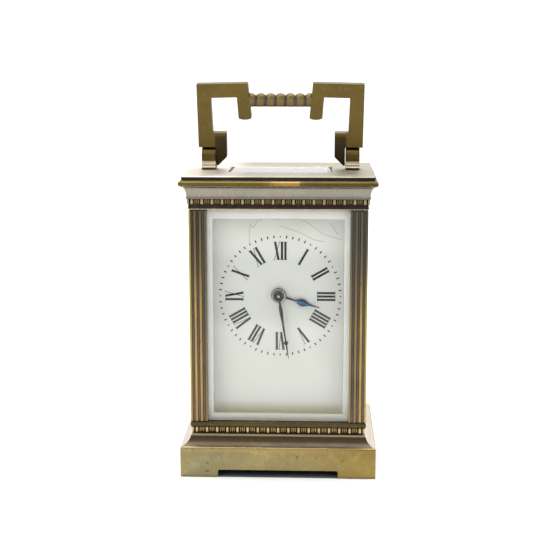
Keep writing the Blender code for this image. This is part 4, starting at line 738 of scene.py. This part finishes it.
def glasses():
    pane("front_pane", "front_glass", "case", "Y", -1, 3.6 * mm, 0.68)
    pane("side_pane_left", "side_glass_left", "case", "X", -1, 3.6 * mm, 0.68)
    pane("side_pane_right", "side_glass_right", "case", "X", 1, 3.6 * mm, 0.68)
    pane("top_pane", "top_glass", "case", "Z", 1, 1.5 * mm, 0.75)
    pane("door_pane", "door_glass", "door", "Y", 1, 1.4 * mm, 0.75)


# --- handle ---------------------------------------------------------------------------------------

PIVOT = Vector(next(j["pos_m"] for j in frame["joints"] if j["name"] == "handle_swing"))
LEAN = Matrix.Translation(PIVOT) @ Matrix.Rotation(radians(8.0), 4, "X") @ Matrix.Translation(-PIVOT)


def scoop(half, z, inward, rise):
    """Hollow step in the outline of a handle stand."""
    turns = [step / 4 * pi / 2 for step in range(5)]
    return [(half - inward * sin(turn), z + rise * (1 - cos(turn))) for turn in turns]


def posts():
    """Stepped stands with round heads, and the slotted screws that the handle turns on."""
    for side, sign in (("left", -1), ("right", 1)):
        low, high = BOX["handle_post_" + side]
        base, top = TOP[1].z + 0.3 * mm, high.z
        radius = top - PIVOT.z
        half = [(4.6 * mm, base), (4.6 * mm, base + 0.7 * mm)]
        half += scoop(4.5 * mm, base + 0.8 * mm, 0.35 * mm, 0.9 * mm)
        half += [(4.0 * mm, base + 1.75 * mm), (4.0 * mm, base + 1.95 * mm)]
        half += scoop(4.2 * mm, base + 2.0 * mm, 0.4 * mm, 1.5 * mm)
        for step in range(13):
            turn = step / 12 * pi / 2
            half.append((radius * cos(turn), PIVOT.z + radius * sin(turn)))
        outline = half + [(-u, v) for u, v in reversed(half[:-1])]
        bm = outward(loft("X", [(outline, low.x), (outline, high.x)]))
        outer = low.x if side == "left" else high.x
        sink, head, play = 1.2 * mm, 2.15 * mm, 0.15 * mm
        wide = head + play
        recess = turned("X", PIVOT.y, PIVOT.z, ((wide, outer - sign * sink), (wide, outer + sign * mm)))
        bm = outward(carve(bm, recess))
        paint(bm, lambda f: centre_of(f).z < base + 3.6 * mm and abs(f.normal.x) < 0.5
              and abs(f.normal.y) < 0.999, 1)
        piece("handle_stand_" + side, bm, (HANDLE, FOOT), "case", ("handle_post_" + side,), bevel=0.1 * mm)
        under = outer - sign * (sink - play)
        screw = turned("X", PIVOT.y, PIVOT.z, (
            (1.2 * mm, outer - sign * 6 * mm), (1.2 * mm, under), (head, under),
            (head, outer - sign * 0.2 * mm), (1.9 * mm, outer)))
        blade_slot = rectangle(3 * mm, 0.25 * mm, PIVOT.y, PIVOT.z)
        slot = loft("X", [(blade_slot, outer - sign * 0.45 * mm), (blade_slot, outer + sign * mm)])
        piece("pivot_screw_" + side, carve(outward(screw), outward(slot)), STEEL, "case",
              ("handle_screw_" + side,), sharp=25)


def arms():
    """Scrolled arms of the handle; the outline is in millimetres from the middle of the top plate."""
    base, half_thick = TOP[1].z, 2.45 * mm
    drop = []
    for step in range(9):
        turn = step / 8 * pi
        drop.append((15.75 - 2.9 * cos(turn), 23.6 - 0.9 * sin(turn)))
    points = [(36.7, 10.2), (37.1, 38.5), (14.4, 39.0), (12.85, 23.6)] + drop[1:-1]
    points += [(18.65, 23.6), (19.3, 32.7), (30.8, 32.4), (30.2, 16.8), (24.1, 16.8),
               (24.1, 5.8), (28.0, 2.0), (28.8, 2.0), (28.8, 10.2)]
    for word, side in (("left", -1), ("right", 1)):
        outline = [(side * u * mm, base + v * mm) for u, v in points]
        bm = loft("Y", [(outline, -half_thick), (outline, half_thick)])
        bm.transform(LEAN)
        piece("handle_scroll_" + word, bm, HANDLE, "handle", ("handle_arm_" + word,), bevel=0.22 * mm,
              segments=3)


def grip():
    """Ribbed bar: seven round ribs, flat underneath; the grooves between the ribs take a darker brass as painted
    shade.
    """
    pitch, half, tall, thick = 4.35 * mm, 13.9 * mm, 5.8 * mm, 2.45 * mm
    notch, pinch, chamfer, roundness = 1.15 * mm, 0.6 * mm, 0.7 * mm, 0.75
    low = TOP[1].z + 28.5 * mm
    sections = []
    count = 112
    for index in range(count + 1):
        x = -half + 2 * half * index / count
        groove = 1.0 - abs(sin(pi * (x / pitch + 0.5))) ** roundness
        height = tall - groove * notch
        depth = thick - groove * pinch
        outline = [(-depth * 0.78, low), (depth * 0.78, low), (depth, low + chamfer)]
        shoulder = low + height - depth * 0.8
        for step in range(9):
            turn = step / 8 * pi
            outline.append((depth * cos(turn), shoulder + depth * 0.8 * sin(turn)))
        outline.append((-depth, low + chamfer))
        sections.append((outline, x))
    bm = loft("X", sections)
    # Grooves between the ribs: painted shade in darker brass.
    paint(bm, lambda f: abs(sin(pi * (centre_of(f).x / pitch + 0.5))) < 0.55, 1)
    bm.transform(LEAN)
    piece("handle_bar", bm, (GRIP_GOLD, GRIP_GROOVE_SHADE), "handle", ("handle_grip",), sharp=50)


# --- rear door ------------------------------------------------------------------------------------

def door():
    """Rear door: moulded frame round the glass, and a turned knob."""
    low, high = BOX["door_frame"]
    u, w, h = (low.x + high.x) / 2, (high.x - low.x) / 2, (high.z - low.z) / 2
    middle = (low.z + high.z) / 2
    light, rebate = (w - 4.5 * mm, h - 4.5 * mm), (w - 3.0 * mm, h - 3.0 * mm)
    lip = high.y - 0.9 * mm
    profile = [(*rebate, low.y), (w, h, low.y), (w, h, high.y - 0.3 * mm),
               (w - 0.3 * mm, h - 0.3 * mm, high.y),
               (light[0] + 0.5 * mm, light[1] + 0.5 * mm, high.y), (*light, high.y - 0.5 * mm),
               (*light, lip), (*rebate, lip)]
    piece("door_surround", moulding(profile, "Y", u, middle), BRASS, "door", ("door_frame",), bevel=0.12 * mm)
    knob_low, knob_high = BOX["door_knob"]
    x, z = (knob_low.x + knob_high.x) / 2, (knob_low.z + knob_high.z) / 2
    shape = ((0.8, -1.7), (0.8, 0.3), (1.9, 0.3), (1.9, 0.7), (1.6, 0.9), (1.0, 1.2), (1.0, 1.7),
             (1.7, 2.1), (2.3, 2.7), (2.5, 3.3), (2.4, 3.9), (1.9, 4.4), (0.9, 4.7))
    profile = [(r * mm, high.y + y * mm) for r, y in shape]
    piece("door_pull", turned("Y", x, z, profile), GILT, "door", ("door_knob",), sharp=40)


# --- dial and hands -------------------------------------------------------------------------------

CENTRE = Vector(next(j["pos_m"] for j in frame["joints"] if j["name"] == "hand_setting"))
OFF_CENTRE = (0.65 * mm, -0.5 * mm)      # of the printed rings from the hand arbor
NUMERAL_FOOT, MINUTE_RING = 16.15 * mm, 26.4 * mm
THICK, THIN, PITCH, TALL = 1.0 * mm, 0.24 * mm, 1.5 * mm, 8.0 * mm
NUMERALS = ("XII", "I", "II", "III", "IIII", "V", "VI", "VII", "VIII", "IX", "X", "XI")


def stroke(start, end, width):
    """Level-ended stroke between two heights."""
    half = width / 2
    return [(start[0] - half, start[1]), (start[0] + half, start[1]),
            (end[0] + half, end[1]), (end[0] - half, end[1])]


def numeral(text):
    """Polygons of a Roman numeral, thick and thin strokes with hairline serifs, centred, foot at zero."""
    shapes, x = [], 0.0
    top, foot, serif, inset = TALL, 0.0, 0.2 * mm, 0.2 * mm
    for index, letter in enumerate(text):
        if letter == "I":
            x += THICK / 2
            shapes.append(stroke((x, foot), (x, top), THICK))
            for z in (foot, top - serif):
                shapes.append(stroke((x, z), (x, z + serif), THICK + 0.62 * mm))
            x += THICK / 2
        else:
            width = 2.5 * mm
            left, right = x + THICK / 2, x + width
            if letter == "V":
                shapes.append(stroke((left + width * 0.44, foot), (left, top), THICK))
                shapes.append(stroke((left + width * 0.46, foot), (right, top), THIN))
                spots = ((left, top - serif), (right, top - serif))
            else:
                shapes.append(stroke((right - THICK / 2, foot), (left, top), THICK))
                shapes.append(stroke((x + inset, foot), (right, top), THIN))
                spots = ((left, top - serif), (right, top - serif), (x + inset, foot),
                         (right - THICK / 2, foot))
            for u, z in spots:
                wide = THICK + 0.5 * mm if abs(u - right) > 0.1 * mm and u > x + 0.25 * mm else 0.8 * mm
                shapes.append(stroke((u, z), (u, z + serif), wide))
            x += width
        if index < len(text) - 1:
            x += PITCH - THICK
    return [[(u - x / 2, v) for u, v in shape] for shape in shapes]


def sheet(bm, points, front, depth):
    """Thin raised shape on the dial, in plane coordinates about the centre."""
    outline = [(CENTRE.x + u, CENTRE.z + v) for u, v in points]
    loft("Y", [(outline, front), (outline, front + depth)], bm=bm)


def about(points, angle, out=0.0, shift=(0.0, 0.0)):
    """Plane points turned clockwise from twelve and moved out along that direction."""
    return [(u * cos(angle) + (v + out) * sin(angle) + shift[0],
             -u * sin(angle) + (v + out) * cos(angle) + shift[1]) for u, v in points]


def dial():
    """Enamel plate with a hole for the arbors, its numerals and minute marks, and its hairline cracks."""
    low, high = BOX["dial"]
    face, back, edge, hole = low.y, low.y + 1.0 * mm, 0.2 * mm, 2.2 * mm
    half, z, tall = (high.x - low.x) / 2, (low.z + high.z) / 2, (high.z - low.z) / 2
    plate = loft("Y", [(rectangle(half, tall, 0, z), back), (rectangle(half, tall, 0, z), face + edge),
                       (rectangle(half - edge, tall - edge, 0, z), face)])
    drill = turned("Y", CENTRE.x, CENTRE.z, ((hole, face - mm), (hole, back + mm)))
    piece("dial_plate", carve(outward(plate), outward(drill)), ENAMEL, "case", ("dial",),
          bevel=0.1 * mm)
    marks = bmesh.new()
    raised = 0.05 * mm
    for hour, text in enumerate(NUMERALS):
        for shape in numeral(text):
            sheet(marks, about(shape, hour * pi / 6, NUMERAL_FOOT, OFF_CENTRE), face - raised, raised)
    for minute in range(60):
        mark = rectangle(0.27 * mm, 0.6 * mm) if minute % 5 else circle(0.34 * mm, count=12)
        sheet(marks, about(mark, minute * pi / 30, MINUTE_RING, OFF_CENTRE), face - raised, raised)
    piece("dial_numerals", marks, INK, "case", ())
    lines = bmesh.new()
    cracks = (((-12.8, 22.4), (-12.9, 26.0), (-12.8, 29.4), (-12.4, 31.3)),
              ((-12.4, 31.3), (-11.3, 29.8), (-10.3, 31.1), (-9.4, 32.8), (-5.9, 33.7), (-0.3, 33.4),
               (5.0, 33.8), (9.7, 33.5), (12.9, 31.9), (16.6, 29.1), (19.2, 27.4), (22.9, 26.0),
               (27.3, 24.8)),
              ((0.3, 30.7), (5.4, 29.0), (10.4, 27.2), (15.4, 24.6), (19.8, 23.8)),
              ((22.3, 32.2), (24.2, 29.4), (25.8, 26.9)))
    half_line = 0.07
    for points in cracks:
        for (u0, v0), (u1, v1) in zip(points, points[1:]):
            length = hypot(u1 - u0, v1 - v0)
            a, b = -(v1 - v0) / length * half_line, (u1 - u0) / length * half_line
            quad = ((u0 - a, v0 - b), (u1 - a, v1 - b), (u1 + a, v1 + b), (u0 + a, v0 + b))
            sheet(lines, [(u * mm, v * mm) for u, v in quad], face - 0.02 * mm, 0.02 * mm)
    piece("dial_hairlines", lines, CRACK, "case", ())


def blade(name, node, body, widths, boss, bore, angle, leaf=None):
    """Hand: round boss and a slim crowned blade, its leaf blued between two distances, with a painted highlight in
    teal on the leaf's two middle faces.
    """
    front, back = BOX[node][0].y, BOX[node][1].y
    bm = bmesh.new()
    depth, dome = (back + front) / 2, 0.3 * mm
    rows = []
    for distance, half in widths:
        crown = min(1.0, 0.35 + half / (1.2 * mm)) * dome
        section = [(-1.0, depth), (-0.55, depth - 0.7 * crown), (0.0, depth - crown),
                   (0.55, depth - 0.7 * crown), (1.0, depth), (0.9, back), (-0.9, back)]
        row = []
        for share, y in section:
            u, v = about([(share * half, 0.0)], angle, distance)[0]
            row.append(bm.verts.new((CENTRE.x + u, y, CENTRE.z + v)))
        rows.append((distance, row))
    for (start, a), (end, b) in zip(rows, rows[1:]):
        first = len(bm.faces)
        skin(bm, a, b)
        if leaf and leaf[0] <= (start + end) / 2 <= leaf[1]:
            paint(bm, every, 1, first)
            # Two middle faces of the leaf's crown: painted highlight in teal.
            bm.faces[first + 1].material_index = 3
            bm.faces[first + 2].material_index = 3
    bm.faces.new(rows[0][1])
    bm.faces.new(rows[-1][1])
    first = len(bm.faces)
    ring = [(bore, back), (boss, back), (boss, depth - 0.1 * mm), (boss - 0.3 * mm, front),
            (boss - 0.9 * mm, front), (boss - 1.1 * mm, front + 0.15 * mm), (bore, front + 0.1 * mm)]
    loft("Y", [(circle(r, CENTRE.x, CENTRE.z, 40), y) for r, y in ring], ring=True, bm=bm)
    if leaf:
        paint(bm, lambda f: hypot(centre_of(f).x - CENTRE.x, centre_of(f).z - CENTRE.z) < boss - 0.25 * mm,
              2, first)
    piece(name, bm, (HAND_STEEL, BLUED, RING_STEEL, LEAF_HIGHLIGHT), body, (node,), sharp=50)


def leaf_widths(points, steps=6):
    """Points along a hand, with smooth curves between the given (distance, half width) stations."""
    result = []
    for (d0, w0), (d1, w1) in zip(points, points[1:]):
        for step in range(steps):
            t = step / steps
            smooth = t * t * (3 - 2 * t)
            result.append(((d0 + (d1 - d0) * t) * mm, (w0 + (w1 - w0) * smooth) * mm))
    result.append((points[-1][0] * mm, points[-1][1] * mm))
    return result


def hands():
    """Hour hand between three and four, minute hand before the half hour, collet and tip of the arbor."""
    hour_angle, minute_angle = radians(106.5), radians(171.0)
    hour = [(d * mm, w * mm) for d, w in (
        (2.9, 0.42), (5.0, 0.4), (7.4, 0.4), (8.0, 0.55), (8.6, 0.86), (9.2, 1.2), (9.8, 1.46),
        (10.4, 1.6), (11.0, 1.62), (11.6, 1.5), (12.2, 1.26), (12.9, 0.96), (13.6, 0.7), (14.4, 0.5),
        (15.6, 0.36), (18.8, 0.14))]
    blade("hour_pointer", "hour_hand", "hour_work", hour, 3.3 * mm, 1.55 * mm, hour_angle,
          (8.0 * mm, 14.4 * mm))
    minute = leaf_widths(((2.2, 0.42), (6.5, 0.78), (13.0, 0.46), (20.0, 0.34), (21.2, 1.0), (22.4, 0.36),
                          (28.3, 0.12)))
    blade("minute_pointer", "minute_hand", "minute_work", minute, 2.5 * mm, 0.75 * mm, minute_angle)
    low, high = BOX["minute_hand"]
    tip = BOX["hand_arbor"][0].y
    cap = [(0.8 * mm, high.y), (1.95 * mm, low.y + 0.15 * mm), (1.9 * mm, low.y),
           (1.5 * mm, low.y - 0.16 * mm), (0.95 * mm, low.y - 0.26 * mm), (0.62 * mm, low.y - 0.28 * mm)]
    piece("hand_collet", turned("Y", CENTRE.x, CENTRE.z, cap), DARK_STEEL, "minute_work", (),
          sharp=50)
    pin = [(0.6 * mm, low.y), (0.6 * mm, tip - 0.02 * mm), (0.42 * mm, tip - 0.2 * mm),
           (0.15 * mm, tip - 0.27 * mm)]
    piece("arbor_tip", turned("Y", CENTRE.x, CENTRE.z, pin), STEEL, "minute_work", (), sharp=60)


# --- pieces kept from the CAD ---------------------------------------------------------------------

def repaint():
    """Better finishes for the CAD nodes that stay."""
    finishes = {"gilt_brass": GILT, "steel": STEEL, "aged_brass": BRASS, "dark_brass": RIDGE,
                "blued_steel": BLUED, "enamel": ENAMEL, "glass": GLASS}
    slots = {part["node"]: part["material_slot"] for part in frame["record"]["subparts"]}
    for name, node in frame["nodes"].items():
        for slot in node.material_slots:
            slot.material = finishes[slots[name]]


# --- stage ----------------------------------------------------------------------------------------

def stage():
    """White floor, bluish shade under the plinth, white backdrop and three soft lamps."""
    g = Graph("floor_white")
    tone = g.mix(g.ramp(g.noise(3.0, 2.0), 0.3, 0.7), (0.93, 0.93, 0.925), (0.95, 0.95, 0.945))
    g.surface(tone, 0.75, 0.0)
    radius, thick = 30.0, 0.02
    disc = loft("Z", [(circle(radius, count=64), -thick), (circle(radius, count=64), 0.0)])
    thing("floor", outward(disc), (g.owner,))
    dim = Graph("floor_in_shadow")
    tone = dim.mix(dim.ramp(dim.noise(60.0, 2.0), 0.3, 0.7), (0.12, 0.15, 0.185), (0.15, 0.18, 0.21))
    dim.surface(tone, 0.9, 0.0)
    half = PLINTH[1].x - 0.4 * mm
    sheet_outline = rectangle(half, half - LOSS)
    shade = loft("Z", [(sheet_outline, -0.01), (sheet_outline, 0.05 * mm)])
    thing("floor_shade", shade, (dim.owner,))

    sky = Graph("studio", bpy.data.worlds, "Generated", "ShaderNodeOutputWorld")
    bpy.context.scene.world = sky.owner
    white = 1.12
    light = sky.math("ADD", sky.ramp(sky.along("Y"), -0.8, 0.45, 0.18, white),
                     sky.ramp(sky.along("Z"), 0.12, 0.75, 0.0, 0.70))
    seen = sky.add("ShaderNodeLightPath").outputs["Is Camera Ray"]
    backdrop = sky.add("ShaderNodeBackground")
    sky.link((1.0, 0.995, 0.985, 1.0), backdrop.inputs["Color"])
    sky.link(sky.math("ADD", light, sky.both(seen, white)), backdrop.inputs["Strength"])
    sky.link(backdrop.outputs[0], sky.output.inputs["Surface"])

    target = Vector((0.0, 0.0, 0.08))
    for name, spot, size, power, colour in (
            ("key", (-0.75, -0.85, 0.95), 0.7, 6.0, (1.0, 0.985, 0.96)),
            ("fill", (0.95, -0.55, 0.6), 0.6, 2.6, (0.97, 0.985, 1.0)),
            ("overhead", (0.0, 0.15, 1.2), 0.9, 7.0, (1.0, 1.0, 1.0))):
        data = bpy.data.lights.new(name, "AREA")
        data.size = size
        data.energy = power
        data.color = colour
        lamp = bpy.data.objects.new(name, data)
        bpy.context.scene.collection.objects.link(lamp)
        lamp.location = spot
        lamp.rotation_euler = (target - Vector(spot)).to_track_quat("-Z", "Y").to_euler()


def camera():
    """Camera at the photo's viewing angle: a little from the right, ten degrees down."""
    down, aside = radians(10.35), radians(2.25)
    data = bpy.data.cameras.new("camera")
    data.lens = 79.95
    data.sensor_width = 36.0
    data.clip_start = 0.01
    view = bpy.data.objects.new("camera", data)
    bpy.context.scene.collection.objects.link(view)
    view.location = (0.019, -0.55, 0.185)
    view.rotation_euler = (pi / 2 - down, 0.0, aside)
    bpy.context.scene.camera = view
    bpy.context.scene.view_settings.view_transform = "Standard"


camera()
stage()
repaint()
plinth()
base_slab()
bands()
cornice()
top_plate()
pillars()
glasses()
posts()
arms()
grip()
door()
dial()
hands()
